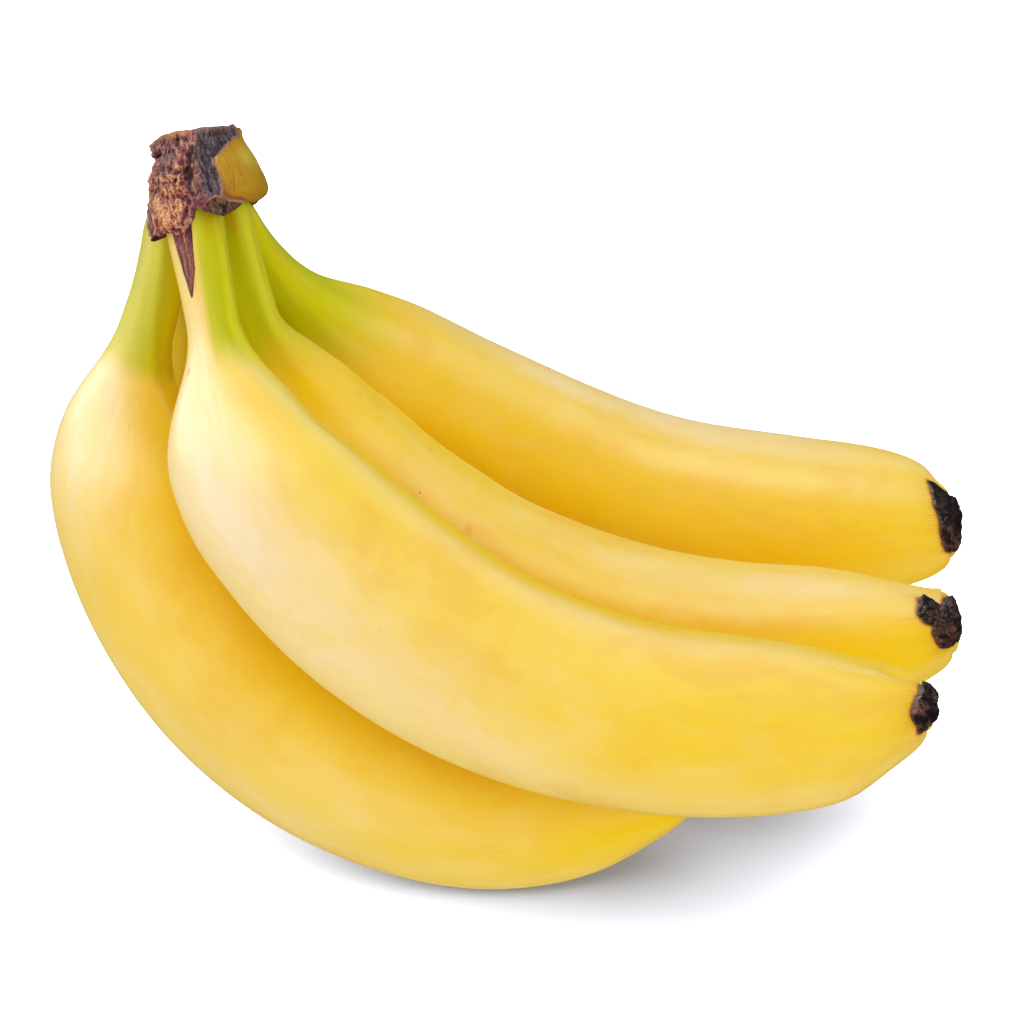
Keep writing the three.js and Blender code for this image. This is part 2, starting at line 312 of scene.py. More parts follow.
class Graph:
    """A material's node tree, with one short method for each kind of node that the finishes use."""

    # the colour sockets of a Mix node, which share their names with its other kinds
    MIX_FIRST, MIX_SECOND, MIX_RESULT = 6, 7, 2

    def __init__(self, name: str) -> None:
        """Makes an empty material with a Principled BSDF.

        Args:
            name: name of the material.
        """
        self.material = bpy.data.materials.new(name)
        self.material.use_nodes = True
        self.tree = self.material.node_tree
        self.tree.nodes.clear()
        self.shader = self.tree.nodes.new("ShaderNodeBsdfPrincipled")
        output = self.tree.nodes.new("ShaderNodeOutputMaterial")
        self.tree.links.new(self.shader.outputs["BSDF"], output.inputs["Surface"])

    def feed(self, socket: Socket, value: object) -> None:
        """Links a socket to another one, or sets it to a number, vector or colour.

        Args:
            socket: the input.
            value: the socket or the value that it takes.
        """
        if isinstance(value, Socket):
            self.tree.links.new(value, socket)
        elif isinstance(value, tuple) and socket.type == "RGBA":
            socket.default_value = (*value, 1.0)
        else:
            socket.default_value = value

    def attribute(self, name: str, vector: bool = False) -> Socket:
        """A number or vector stored on the mesh.

        Args:
            name: name of the attribute.
            vector: whether it is a vector.

        Returns:
            The socket.
        """
        node = self.tree.nodes.new("ShaderNodeAttribute")
        node.attribute_name = name
        return node.outputs["Vector" if vector else "Fac"]

    def place(self) -> Socket:
        """Object coordinates, in metres."""
        return self.tree.nodes.new("ShaderNodeTexCoord").outputs["Object"]

    def stretch(self, vector: object, scale: tuple[float, float, float]) -> Socket:
        """A vector multiplied along each axis.

        Args:
            vector: the vector.
            scale: what each axis is multiplied by.

        Returns:
            The vector socket.
        """
        node = self.tree.nodes.new("ShaderNodeMapping")
        self.feed(node.inputs["Vector"], vector)
        self.feed(node.inputs["Scale"], scale)
        return node.outputs["Vector"]

    def noise(self, vector: object, scale: float, detail: float = 2.0, rough: float = 0.5,
              warp: float = 0.0) -> Socket:
        """Noise between 0 and 1.

        Args:
            vector: where it is read.
            scale: features per unit of the vector.
            detail: how many finer layers.
            rough: height of the finer layers.
            warp: how far it is warped by itself.

        Returns:
            The factor socket.
        """
        node = self.tree.nodes.new("ShaderNodeTexNoise")
        self.feed(node.inputs["Vector"], vector)
        node.inputs["Scale"].default_value = scale
        node.inputs["Detail"].default_value = detail
        node.inputs["Roughness"].default_value = rough
        node.inputs["Distortion"].default_value = warp
        return node.outputs["Fac"]

    def cells(self, vector: object, scale: float) -> tuple[Socket, Socket]:
        """Scattered points.

        Args:
            vector: where they are read.
            scale: points per unit of the vector.

        Returns:
            The distance to the nearest point, and that point's random colour.
        """
        node = self.tree.nodes.new("ShaderNodeTexVoronoi")
        self.feed(node.inputs["Vector"], vector)
        node.inputs["Scale"].default_value = scale
        return node.outputs["Distance"], node.outputs["Color"]

    def span(self, value: object, low: float, high: float, out_low: float = 0.0,
             out_high: float = 1.0) -> Socket:
        """A number carried smoothly from one range to another, and held at its ends.

        Args:
            value: the number.
            low: where the first range starts.
            high: where it ends.
            out_low: result at low.
            out_high: result at high.

        Returns:
            The result socket.
        """
        node = self.tree.nodes.new("ShaderNodeMapRange")
        node.interpolation_type = "SMOOTHSTEP"
        self.feed(node.inputs["Value"], value)
        limits = {"From Min": low, "From Max": high, "To Min": out_low, "To Max": out_high}
        for socket, number in limits.items():
            node.inputs[socket].default_value = number
        return node.outputs["Result"]

    def sum(self, operation: str, first: object, second: object = 0.0) -> Socket:
        """Arithmetic on two numbers.

        Args:
            operation: MULTIPLY, ADD, SUBTRACT, MAXIMUM or another of Blender's.
            first: the first number.
            second: the second.

        Returns:
            The result socket.
        """
        node = self.tree.nodes.new("ShaderNodeMath")
        node.operation = operation
        self.feed(node.inputs[0], first)
        self.feed(node.inputs[1], second)
        return node.outputs[0]

    def times(self, *factors: object) -> Socket:
        """The product of several numbers."""
        product = factors[0]
        for factor in factors[1:]:
            product = self.sum("MULTIPLY", product, factor)
        return product

    def blend(self, share: object, first: object, second: object) -> Socket:
        """One colour over another.

        Args:
            share: how much of the second colour shows, 0 to 1.
            first: colour beneath.
            second: colour on top.

        Returns:
            The colour socket.
        """
        node = self.tree.nodes.new("ShaderNodeMix")
        node.data_type = "RGBA"
        self.feed(node.inputs["Factor"], share)
        self.feed(node.inputs[self.MIX_FIRST], first)
        self.feed(node.inputs[self.MIX_SECOND], second)
        return node.outputs[self.MIX_RESULT]

    def coats(self, base: object, *layers: tuple[object, object]) -> Socket:
        """Colours laid one over another.

        Args:
            base: the lowest colour.
            layers: how much of each further colour shows, 0 to 1, and the colour.

        Returns:
            The colour socket.
        """
        colour = base
        for share, coat in layers:
            colour = self.blend(share, colour, coat)
        return colour

    def relief(self, *layers: tuple[object, float]) -> None:
        """Bump on the shader's normal, one layer after another.

        Args:
            layers: a height in the range 0 to 1, and its depth in millimetres.
        """
        normal = None
        for height, depth in layers:
            node = self.tree.nodes.new("ShaderNodeBump")
            node.inputs["Strength"].default_value = 1.0
            node.inputs["Distance"].default_value = depth * MM
            self.feed(node.inputs["Height"], height)
            if normal is not None:
                self.feed(node.inputs["Normal"], normal)
            normal = node.outputs["Normal"]
        self.feed(self.shader.inputs["Normal"], normal)

    def finish(self, colour: object, roughness: object, specular: float) -> Material:
        """Sets the shader's colour, roughness and specular level.

        Args:
            colour: the base colour.
            roughness: 0 is glossy and 1 is matte.
            specular: strength of the gloss.

        Returns:
            The material.
        """
        self.feed(self.shader.inputs["Base Color"], colour)
        self.feed(self.shader.inputs["Roughness"], roughness)
        self.shader.inputs["Specular IOR Level"].default_value = specular
        return self.material


def linear(value: int) -> float:
    """One channel of a display colour as linear light: a short straight start, then about the power 2.4."""
    x = value / 255
    return x / 12.92 if x <= 0.04045 else ((x + 0.055) / 1.055) ** 2.4


def srgb(red: int, green: int, blue: int) -> Colour:
    """A display colour, 0 to 255 each, as linear light."""
    return linear(red), linear(green), linear(blue)


# ---- fingers ----


class Spine:
    """The curved middle line of a finger, measured along its length."""

    STEPS = 1200

    def __init__(self, stations: Table) -> None:
        """Threads a natural cubic spline through the stations and measures it.

        Args:
            stations: points from inside the crown to the tip, in millimetres.
        """
        points = np.asarray(stations, float)
        knots = self.measured(points)
        self.line = through(knots, points, np.linspace(0.0, knots[-1], self.STEPS + 1))
        self.travelled = self.measured(self.line)
        self.length = float(self.travelled[-1])
        self.heading = unit(np.gradient(self.line, self.travelled, axis=0))
        middle = points[len(points) // 2]
        side = unit(np.cross(middle - points[0], points[-1] - points[0]))
        self.side = -side if side[1] > 0 else side

    @staticmethod
    def measured(points: Array) -> Array:
        """Distance travelled at each point: the running sum of the steps between them."""
        return np.concatenate([[0.0], np.cumsum(np.linalg.norm(np.diff(points, axis=0), axis=1))])

    def at(self, share: Array) -> tuple[Array, Array]:
        """Points and directions of the spine.

        Args:
            share: shares of the length, 0 to 1.

        Returns:
            Points, and unit directions towards the tip.
        """
        goal = np.clip(share, 0.0, 1.0) * self.length
        def read(columns: Array) -> Array:
            """Three columns at the goal."""
            return np.stack([np.interp(goal, self.travelled, column) for column in columns.T], -1)
        return read(self.line), unit(read(self.heading))


@dataclass(frozen=True)
class Band:
    """A long soft band along one side of a finger.

    Its middle and its half width are degrees round the spine, and its rows are shares of the length from the
    crown with the strength there.
    """

    angle: float
    width: float
    rows: Sequence[tuple[float, float]]

    def at(self, share: Array, angle: Array) -> Array:
        """Strength of the band: a curve through its rows, times a bell round its middle.

        Args:
            share: shares of the finger's length.
            angle: angles round the spine, in radians.

        Returns:
            The curve, times e to the power of minus the squared angle from the middle in widths.
        """
        table = np.asarray(self.rows, float)
        held = np.clip(share, table[0, 0], table[-1, 0])
        along = through(table[:, 0], table[:, 1:], held)[..., 0]
        return along * bump(wrapped(angle - math.radians(self.angle)), 0.0, math.radians(self.width))


@dataclass
class Finger:
    """One banana: its spine, its girth along it, and the marks of its own peel.

    Lengths are millimetres, shares are of the length from the crown, and angles are degrees round the spine,
    0 on the inner side of the curve and 90 on the front. A ridge is its angle on the body, its angle on the
    neck, its height and its width, and a brown mark is its share, angle, size and strength. Its bands of deep
    gold are painted shade where shade falls between the fingers, and its bands of cream are painted highlight
    on its lit sides.
    """

    PROFILE_STEPS = 3000
    CAP_STEPS = 400

    name: str
    stations: Table
    neck: float
    belly: float
    shoulder: float
    taper: float
    round: float
    tip: float
    cap: float
    ridges: Sequence[tuple[float, float, float, float]]
    swells: Sequence[Band] = ()
    # painted shade: bands of deep gold where shade falls between the fingers
    painted_shades: Sequence[Band] = ()
    # painted highlight: bands of cream on the lit sides
    painted_highlights: Sequence[Band] = ()
    browns: Sequence[tuple[float, float, float, float]] = ()
    green_end: float = 0.165
    green_blur: float = 0.05
    green_edge: float = 0.0
    green_from: float = 400.0
    seed: int = 1
    plain: float = 0.972
    neck_edges: float = 1.1
    twist_end: float = 0.22
    neck_end: float = 0.12
    taper_start: float = 0.45
    tip_curve: float = 2.2
    root: float = 0.018
    edges_end: float = 0.24
    ridges_fade: float = 0.86
    ridges_fading: float = 0.12
    twist_start: float = 0.06
    cap_blunt: float = 0.8
    rings: int = 360
    points: int = 160
    spine: Spine = field(init=False)
    share: Array = field(init=False)
    past: Array = field(init=False)
    radius: Array = field(init=False)
    reach: Array = field(init=False)

    def __post_init__(self) -> None:
        """Works out the profile at each step: the share, how far past the tip, the radius and the reach."""
        self.spine = Spine(self.stations)
        share = np.linspace(0.0, 1.0, self.PROFILE_STEPS)
        quarter = np.linspace(0.0, 1.0, self.CAP_STEPS)[1:] * (math.pi / 2)
        girth = self.girth(share)
        self.share = np.concatenate([share, np.ones(len(quarter))])
        self.past = np.concatenate([np.zeros(len(share)), self.cap * np.sin(quarter)])
        self.radius = np.concatenate([girth, girth[-1] * np.cos(quarter) ** self.cap_blunt])
        self.radius[-1] = 0.0
        forward = self.share * self.spine.length + self.past
        step = np.hypot(np.diff(forward), np.diff(self.radius))
        travelled = np.concatenate([[0.0], np.cumsum(step)])
        self.reach = travelled[-1] - travelled

    def girth(self, share: Array) -> Array:
        """Radius of the finger before its ridges and swells.

        Args:
            share: shares of the length.

        Returns:
            The product of a rounded root, a neck that swells to the belly and slims again, and a blunt tip: 1
            less a power of the way to the tip, under a square root.
        """
        swell = smooth((share - self.neck_end) / (self.shoulder - self.neck_end))
        body = self.neck + (self.belly - self.neck) * swell
        slim = body * (1.0 - self.taper * smooth((share - self.taper_start) / (1.0 - self.taper_start)))
        x = np.clip((share - self.round) / (1.0 - self.round), 0.0, 1.0)
        rounded = 0.7 + 0.3 * np.sqrt(1.0 - (1.0 - np.clip(share / self.root, 0.0, 1.0)) ** 2)
        return rounded * slim * (self.tip + (1.0 - self.tip) * np.sqrt(1.0 - x**self.tip_curve))

    def ridge_profile(self, angle: Array, share: Array, order: int) -> Array:
        """Bell over one ridge, which turns from its place on the neck to its place on the body.

        Args:
            angle: angles round the spine, in radians.
            share: shares of the length.
            order: which ridge.

        Returns:
            1 on the ridge, falling to 0 beside it.
        """
        body, neck, _, width = self.ridges[order]
        turning = smooth((share - self.twist_start) / (self.twist_end - self.twist_start))
        turned = np.radians(body + (neck - body) * (1.0 - turning))
        return bump(wrapped(angle - turned), 0.0, math.radians(width))

    def section(self, angle: Array, share: Array) -> Array:
        """The section: a circle with a bell on each ridge, sharper on the neck and gone at the tip.

        Args:
            angle: angles round the spine, in radians.
            share: shares of the length.

        Returns:
            Share of the girth in each direction.
        """
        necking = 1.0 - smooth(share / self.edges_end)
        fading = smooth((share - self.ridges_fade) / self.ridges_fading)
        lasting = 1.0 - fading + self.neck_edges * necking
        total = self.plain - 0.03 * self.neck_edges * necking + np.zeros(np.shape(angle))
        for order, (_, _, height, _) in enumerate(self.ridges):
            total = total + height * lasting * self.ridge_profile(angle, share, order)
        return total

    def skin(self, reach: Array, angle: Array) -> Array:
        """Points of the peel.

        Args:
            reach: distance over the peel to the pole at the tip.
            angle: angle round the spine, in radians.

        Returns:
            Points in millimetres.
        """
        back = self.reach[::-1]
        share = np.interp(reach, back, self.share[::-1])
        past = np.interp(reach, back, self.past[::-1])
        radius = np.interp(reach, back, self.radius[::-1])
        centre, heading = self.spine.at(share)
        up = unit(np.cross(np.broadcast_to(self.spine.side, heading.shape), heading))
        out = np.cross(heading, up)
        rise = sum(band.at(share, angle) for band in self.swells) * np.minimum(radius / self.neck, 1.0)
        distance = (radius * self.section(angle, share) + rise)[..., None]
        radial = distance * (np.cos(angle)[..., None] * up + np.sin(angle)[..., None] * out)
        return centre + heading * past[..., None] + radial

    def reach_of(self, share: Array) -> Array:
        """Distance to the pole at a share of the length."""
        return np.interp(share, self.share[:self.PROFILE_STEPS], self.reach[:self.PROFILE_STEPS])


def fingers() -> dict[str, Finger]:
    """The five bananas, by where each lies in the bunch."""
    # In each finger the bands of deep gold are painted shade and the bands of cream are painted highlight.
    rows = (
        Finger(
            name="lower_front",
            stations=(
                (-67, 12, 122), (-69, 11, 108), (-75, 6, 80), (-61, -12, 44), (-26, -27, 19.5),
                (10, -31, 16.5), (33, -32, 20),
            ),
            neck=5, belly=18.6, shoulder=0.32, taper=0.14, round=0.72, tip=0.34, cap=2.0, seed=11,
            ridges=(
                (25, 82, 0.07, 14), (95, 130, 0.02, 26), (160, 180, 0.05, 20), (230, 235, 0.06, 18),
                (300, 300, 0.06, 18),
            ),
            swells=(Band(160, 45, (
                (0, -1.3), (0.02, -1.0), (0.05, -0.5), (0.09, 0.2), (0.12, 0.8), (0.165, 1.3), (0.21, 1.8),
                (0.24, 1.2), (0.27, 0.2), (0.3, -0.9), (0.34, -0.8), (0.4, -0.3), (0.5, 0.1), (0.72, 0.1),
                (0.8, 0.8), (0.87, 0.5), (0.92, -0.3), (0.96, -1.5), (1, -2.0),
            )),),
            painted_shades=(
                Band(18, 44, ((0, 0.9), (0.15, 1), (0.3, 1), (0.6, 0.9), (0.9, 0.7), (1, 0.6))),
                Band(110, 40, (
                    (0.25, 0), (0.33, 0.5), (0.45, 0.55), (0.6, 0.3), (0.75, 0.4), (0.9, 0.9), (1, 1),
                )),
            ),
            painted_highlights=(Band(130, 48, (
                (0, 0.7), (0.15, 0.7), (0.2, 0.8), (0.3, 0.55), (0.45, 0.45), (0.6, 0.4), (0.8, 0.25),
                (1, 0.1),
            )),),
            browns=(
                (0.365, 118, 6.0, 0.12), (0.375, 62, 7.0, 0.1), (0.52, 106, 8.0, 0.13),
                (0.8, 105, 7.0, 0.1),
            ),
            green_end=0.163, green_blur=0.03, twist_end=0.26,
        ),
        Finger(
            name="front",
            stations=(
                (-61, 3.5, 130), (-58, -7, 112), (-54, -17, 97), (-36, -31, 74), (5, -44, 51),
                (48, -47, 45.5), (76, -46, 48.5),
            ),
            neck=5, belly=19, shoulder=0.32, taper=0.16, round=0.71, tip=0.36, cap=2.0, seed=12,
            ridges=(
                (40, 98, 0.07, 15), (150, 160, 0.035, 22), (208, 208, 0.04, 20), (268, 268, 0.06, 18),
                (332, 332, 0.06, 18),
            ),
            swells=(
                Band(156, 36, (
                    (0, 1.4), (0.03, 1.3), (0.06, 0.8), (0.09, 0.3), (0.12, 0), (0.16, 0), (0.195, 1.3),
                    (0.235, 2.4), (0.262, 1.6), (0.3, 0.5), (0.35, 0.9), (0.42, 1.8), (0.6, 2.0),
                    (0.78, 2.3), (0.885, 3.3), (0.92, 3.1), (0.96, 0.6), (1, -0.9),
                )),
                Band(4, 42, (
                    (0.12, 0), (0.155, 0.5), (0.19, 0.7), (0.215, 0), (0.24, -1.4), (0.265, -2.8),
                    (0.285, -3.3), (0.305, -3.0), (0.33, -2.2), (0.36, -1.3), (0.4, -0.4), (0.45, 0),
                    (0.5, 0),
                )),
                Band(14, 35, (
                    (0.75, 0), (0.86, 0.3), (0.91, -0.8), (0.94, -2.0), (0.96, -2.9), (0.974, -3.8),
                    (0.986, -3.8), (1, -2.4),
                )),
            ),
            painted_shades=(
                Band(110, 32, ((0.55, 0), (0.7, 0.6), (0.8, 0.7), (0.93, 0.5), (1, 0.5))),
                Band(5, 22, ((0.2, 0), (0.35, 0.7), (0.75, 0.7), (0.85, 0.3), (1, 0.5))),
            ),
            painted_highlights=(
                Band(127, 38, (
                    (0, 0.3), (0.09, 0.55), (0.13, 0.65), (0.17, 0.75), (0.22, 1), (0.33, 1), (0.45, 0.75),
                    (0.6, 0.5), (0.8, 0.25), (1, 0.1),
                )),
                Band(34, 18, ((0.4, 0), (0.55, 0.35), (0.85, 0.25), (1, 0.1))),
            ),
            browns=(
                (0.169, 142, 0.7, 0.8), (0.02, 62, 4.8, 0.45), (0.02, 26, 4.8, 0.42),
                (0.335, 120, 6.0, 0.1), (0.72, 122, 9.0, 0.1), (0.82, 100, 7.0, 0.1), (0.6, 95, 8.0, 0.06),
            ),
            green_end=0.165, green_blur=0.05, green_edge=0.33, green_from=96.0,
        ),
        Finger(
            name="middle",
            stations=(
                (-57, 17, 124), (-52, 11, 103), (-43, 10, 82), (-14, 2, 52), (22, -4, 38), (55, -6, 36),
                (85, -6, 40.5),
            ),
            neck=5, belly=18.2, shoulder=0.34, taper=0.1, round=0.7, tip=0.38, cap=2.0, seed=13,
            ridges=(
                (46, 60, 0.065, 15), (128, 128, 0.03, 22), (196, 196, 0.05, 20), (268, 268, 0.06, 18),
                (338, 338, 0.06, 18),
            ),
            swells=(
                Band(-14, 32, (
                    (0.12, 0), (0.14, -0.4), (0.16, 0), (0.18, 0.6), (0.2, 0.6), (0.235, -0.2),
                    (0.265, -1.7), (0.3, -2.7), (0.325, -3.0), (0.36, -2.6), (0.4, -1.8), (0.44, -1.2),
                    (0.48, -1.1), (0.55, -0.4), (0.65, 0), (0.8, 0), (0.87, 0.3), (0.92, -0.2),
                    (0.945, -0.7), (0.972, -0.9), (0.984, -0.7), (0.99, -0.3), (0.996, 0.5), (1, 1.3),
                )),
                Band(125, 50, ((0.88, 0), (0.94, -1.0), (0.975, -2.3), (1, -2.2))),
            ),
            painted_shades=(
                Band(92, 40, ((0.45, 0), (0.6, 0.8), (0.8, 1), (0.95, 1), (1, 0.8))),
                Band(-10, 22, ((0.15, 0), (0.25, 0.6), (0.4, 0.5), (0.5, 0))),
                Band(52, 30, ((0, 0), (0.13, 0), (0.17, 0.8), (0.24, 0.8), (0.3, 0.4), (0.36, 0))),
            ),
            painted_highlights=(Band(18, 24, ((0.15, 0.05), (0.3, 0.1), (0.6, 0.35), (0.95, 0.45), (1, 0.3))),),
            browns=(
                (0.018, 68, 4.4, 0.42), (0.255, 15, 1.3, 0.2), (0.289, 29, 1.6, 0.16),
                (0.326, 10, 0.8, 0.25), (0.365, 13, 1.4, 0.2), (0.457, 49, 1.2, 0.28),
            ),
            green_end=0.178, green_blur=0.1,
        ),
        Finger(
            name="back",
            stations=(
                (-58, 29, 118), (-46.5, 35, 94), (-20, 45, 65), (19, 44, 45), (55, 37, 40), (89, 35, 41),
            ),
            neck=5, belly=18, shoulder=0.34, taper=0.04, round=0.72, tip=0.44, cap=2.0, seed=14,
            ridges=(
                (12, 12, 0.06, 18), (84, 84, 0.03, 24), (156, 156, 0.05, 20), (228, 228, 0.06, 18),
                (300, 300, 0.06, 18),
            ),
            swells=(Band(-48, 42, (
                (0, 0), (0.06, -0.3), (0.1, 0.2), (0.13, 0.9), (0.18, 1.0), (0.21, 0.8), (0.24, 0.1),
                (0.27, -1.0), (0.3, -1.8), (0.33, -2.0), (0.36, -1.6), (0.4, -1.2), (0.46, -0.7),
                (0.68, -0.5), (0.74, 0), (0.8, 0.5), (0.87, 0.9), (0.92, 1.3), (0.945, 1.2), (0.96, 0.9),
                (0.97, 0.5), (0.978, -0.2), (0.988, -1.6), (1, -1.8),
            )),),
            painted_shades=(
                Band(88, 50, ((0.12, 0), (0.2, 0.2), (0.3, 0.9), (0.6, 1), (0.85, 0.9), (1, 0.6))),
                Band(-45, 20, ((0.85, 0), (0.95, 0.6), (1, 0.6))),
            ),
            painted_highlights=(Band(-34, 30, ((0.25, 0), (0.4, 0.5), (0.7, 0.8), (0.9, 0.55), (1, 0.2))),),
            green_end=0.225, green_blur=0.12,
        ),
        Finger(
            name="lower_back",
            stations=(
                (-66.5, 22, 115), (-64, 30, 90), (-60, 34, 58), (-38, 33, 27), (-8, 28.5, 17), (22, 20, 17),
                (37, 14, 16.5),
            ),
            neck=5, belly=17.8, shoulder=0.38, taper=0.14, round=0.72, tip=0.36, cap=2.0, seed=15,
            ridges=(
                (18, 18, 0.05, 18), (90, 90, 0.05, 18), (162, 162, 0.05, 18), (234, 234, 0.05, 18),
                (306, 306, 0.05, 18),
            ),
            painted_shades=(Band(100, 60, ((0, 1), (0.3, 1), (0.6, 0.4), (1, 0.3))),),
            painted_highlights=(Band(200, 40, ((0.2, 0), (0.35, 0.5), (0.7, 0.4), (1, 0))),), green_end=0.28,
            green_blur=0.14,
        ),
    )
    return {row.name: row for row in rows}


@dataclass
class Crust:
    """The dried blossom end of one finger: a torn scab that lies on the peel round the tip.

    Its middle is given by the distance over the peel from the pole and the angle round the spine, in degrees.
    Its outline and its marks are on a flat map about that middle, in millimetres, with x away from the pole.
    A knob is x, y, radius and height, and a pit has a negative height. A calm place is smooth and a rusty one
    brown, and each is x, y and radius.
    """

    # degrees over which the outline is averaged, and at how many places
    SPREAD = 7.0
    SPREAD_STEPS = 9
    # share of the rows that tuck under the edge, how deep they go, and how far in they end
    SKIRT = 0.08
    SKIRT_DEPTH = -0.35
    SKIRT_END = 0.7
    # how ragged the edge is, and the smallest distance from the middle
    RAGS = 0.09
    LAST_REACH = 0.02
    # width of the shoulder behind the edge, and the height, place and width of the bead on it
    SHOULDER = 0.8
    BEAD = (0.3, 0.9, 0.35)
    # weights of the folds, the crumbs and the lumps, and how much a calm place lowers them
    RELIEF = (0.5, 0.2, 0.45)
    CALM = 0.85
    # share of the thickness that is there without relief
    LEVEL = 0.6
    # least height at the edge, and how much more it is inside, and how far it all sinks into the peel
    LEAST = (0.07, 0.26)
    SINK = 0.05
    # width of the scorched rim, and the step by which the peel's slope is felt
    RIM = 0.55
    PROBE = 0.05

    finger: Finger
    offset: float
    bearing: float
    outline: Sequence[tuple[float, float]]
    thick: float = 1.3
    knobs: Sequence[tuple[float, float, float, float]] = ()
    calm: Sequence[tuple[float, float, float]] = ()
    rusty: Sequence[tuple[float, float, float]] = ()
    rows: int = 90
    columns: int = 240
    seed: int = 50

    def edge(self, turn: Array) -> Array:
        """Distance from the middle to the outline.

        Args:
            turn: angles round the middle, in radians.

        Returns:
            Straight lines between the outline's angles, averaged over a few degrees each way.
        """
        table = np.asarray(self.outline, float)
        spread = np.linspace(-self.SPREAD, self.SPREAD, self.SPREAD_STEPS)
        places = (np.degrees(turn)[..., None] + spread) % 360.0
        return np.interp(places, table[:, 0], table[:, 1], period=360.0).mean(-1)

    def chart(self, x: Array, y: Array) -> tuple[Array, Array]:
        """Where a place on the flat map lies on the peel.

        Args:
            x: distance from the crust's middle, away from the pole.
            y: distance across that.

        Returns:
            Distance to the pole, and angle round the spine in radians.
        """
        turn = math.radians(self.bearing)
        along = self.offset + x
        px = along * math.cos(turn) - y * math.sin(turn)
        py = along * math.sin(turn) + y * math.cos(turn)
        return np.hypot(px, py), np.arctan2(py, px)

    def outside(self, reach: Array, angle: Array) -> Array:
        """How far points of the peel lie outside the outline.

        Args:
            reach: distances over the peel to the pole.
            angle: angles round the spine, in radians.

        Returns:
            Distance from the crust's middle less the outline's, in millimetres.
        """
        turn = math.radians(self.bearing)
        px, py = reach * np.cos(angle), reach * np.sin(angle)
        x = px * math.cos(turn) + py * math.sin(turn) - self.offset
        y = py * math.cos(turn) - px * math.sin(turn)
        return np.hypot(x, y) - self.edge(np.arctan2(y, x))

    def lift(self, x: Array, y: Array) -> Array:
        """Points of the peel under flat map distances."""
        reach, angle = self.chart(x, y)
        return self.finger.skin(reach, angle)

    @staticmethod
    def spots(spots: Sequence[tuple[float, float, float]], x: Array, y: Array) -> Array:
        """The highest of the spots' bells, each e to the power of minus the squared distance in radii."""
        bells = [np.exp(-(((x - cx) ** 2 + (y - cy) ** 2) / size**2)) for cx, cy, size in spots]
        return np.max(bells, axis=0) if bells else np.zeros_like(x)

    def spread(self, grain: Grain) -> tuple[Array, Array, Array, Array]:
        """The grid: rings from the ragged edge in to the middle, with a skirt outside that tucks under it.

        Args:
            grain: the crust's noise.

        Returns:
            How far in each point is (0 to 1), the angle round, the outline's distance and the point's own.
        """
        row = np.linspace(0.0, 1.0, self.rows)
        angle = np.linspace(0.0, TURN, self.columns, endpoint=False)
        inward, around = np.meshgrid(row, angle, indexing="ij")
        circle = np.stack([3 * np.cos(around), 3 * np.sin(around), around * 0], -1)
        edge = self.edge(around) * (1.0 + self.RAGS * grain.layered(circle, 0.55, 4))
        tucked = self.SKIRT_END + (1.0 - self.SKIRT_END) * inward / self.SKIRT
        share = np.where(inward < self.SKIRT, tucked, 1.0 - (inward - self.SKIRT) / (1.0 - self.SKIRT))
        return inward, around, edge, np.maximum(edge * share, self.LAST_REACH)

    def relief(self, grain: Grain, x: Array, y: Array) -> tuple[Array, Array]:
        """Folds, crumbs and lumps, which a calm place lowers.

        Args:
            grain: the crust's noise.
            x: distance from the middle, away from the pole.
            y: distance across that.

        Returns:
            The relief, about a mean of 0, and how rough each point is.
        """
        flat = np.stack([x, y, np.zeros_like(x)], -1)
        bent = flat + 0.6 * np.stack([grain.at(flat + 5.0, 1.6), grain.at(flat + 15.0, 1.6), x * 0], -1)
        folds = creased(grain.layered(bent * (0.7, 1.2, 1.0) + 9.0, 1.9, 4))
        crumbs = creased(grain.layered(bent + 29.0, 0.8, 3))
        lumps = grain.at(flat + 40.0, 2.6)
        rough = 1.0 - self.CALM * self.spots(self.calm, x, y)
        total = sum(weight * noise for weight, noise in zip(self.RELIEF, (folds, crumbs, lumps)))
        return rough * total, rough

    def build(self, material: Material) -> Piece:
        """Makes the crust.

        Args:
            material: its finish.

        Returns:
            The piece.
        """
        grain = Grain(self.seed)
        inward, around, edge, reach = self.spread(grain)
        x, y = reach * np.cos(around), reach * np.sin(around)
        base = self.lift(x, y)
        normal = unit(np.cross(self.lift(x + self.PROBE, y) - base, self.lift(x, y + self.PROBE) - base))
        relief, rough = self.relief(grain, x, y)
        from_edge = (edge - reach) / self.SHOULDER
        shoulder = smooth(from_edge)
        bead_height, bead_place, bead_width = self.BEAD
        height = self.thick * shoulder * (self.LEVEL + relief)
        height = height + bead_height * self.thick * bump(from_edge, bead_place, bead_width) * rough
        for knob_x, knob_y, size, rise in self.knobs:
            height = height + rise * np.exp(-((x - knob_x) ** 2 + (y - knob_y) ** 2) / size**2) * shoulder
        least = self.LEAST[0] + self.LEAST[1] * shoulder
        height = np.where(inward < self.SKIRT, self.SKIRT_DEPTH, np.maximum(height, least) - self.SINK)
        points = base + normal * height[..., None]
        points[..., 2] = np.maximum(points[..., 2], 0.0)
        name = f"blossom_end_{self.finger.name}"
        thing = closed_skin(name, points, points[0].mean(0), points[-1].mean(0))
        paint(thing, "rim", 1.0 - smooth((edge - reach) / self.RIM), 1.0, 0.0)
        paint(thing, "crest", np.clip(0.5 + 0.9 * relief, 0, 1), 0.5, 0.5)
        paint(thing, "rust", self.spots(self.rusty, x, y), 0.0, 0.0)
        # black painted shade in the crust's low places
        paint(thing, "hollow_shade", smooth(0.9 - height / self.thick), 0.0, 0.5)
        settle(thing, Slot.CRUST, material, name)
        return thing


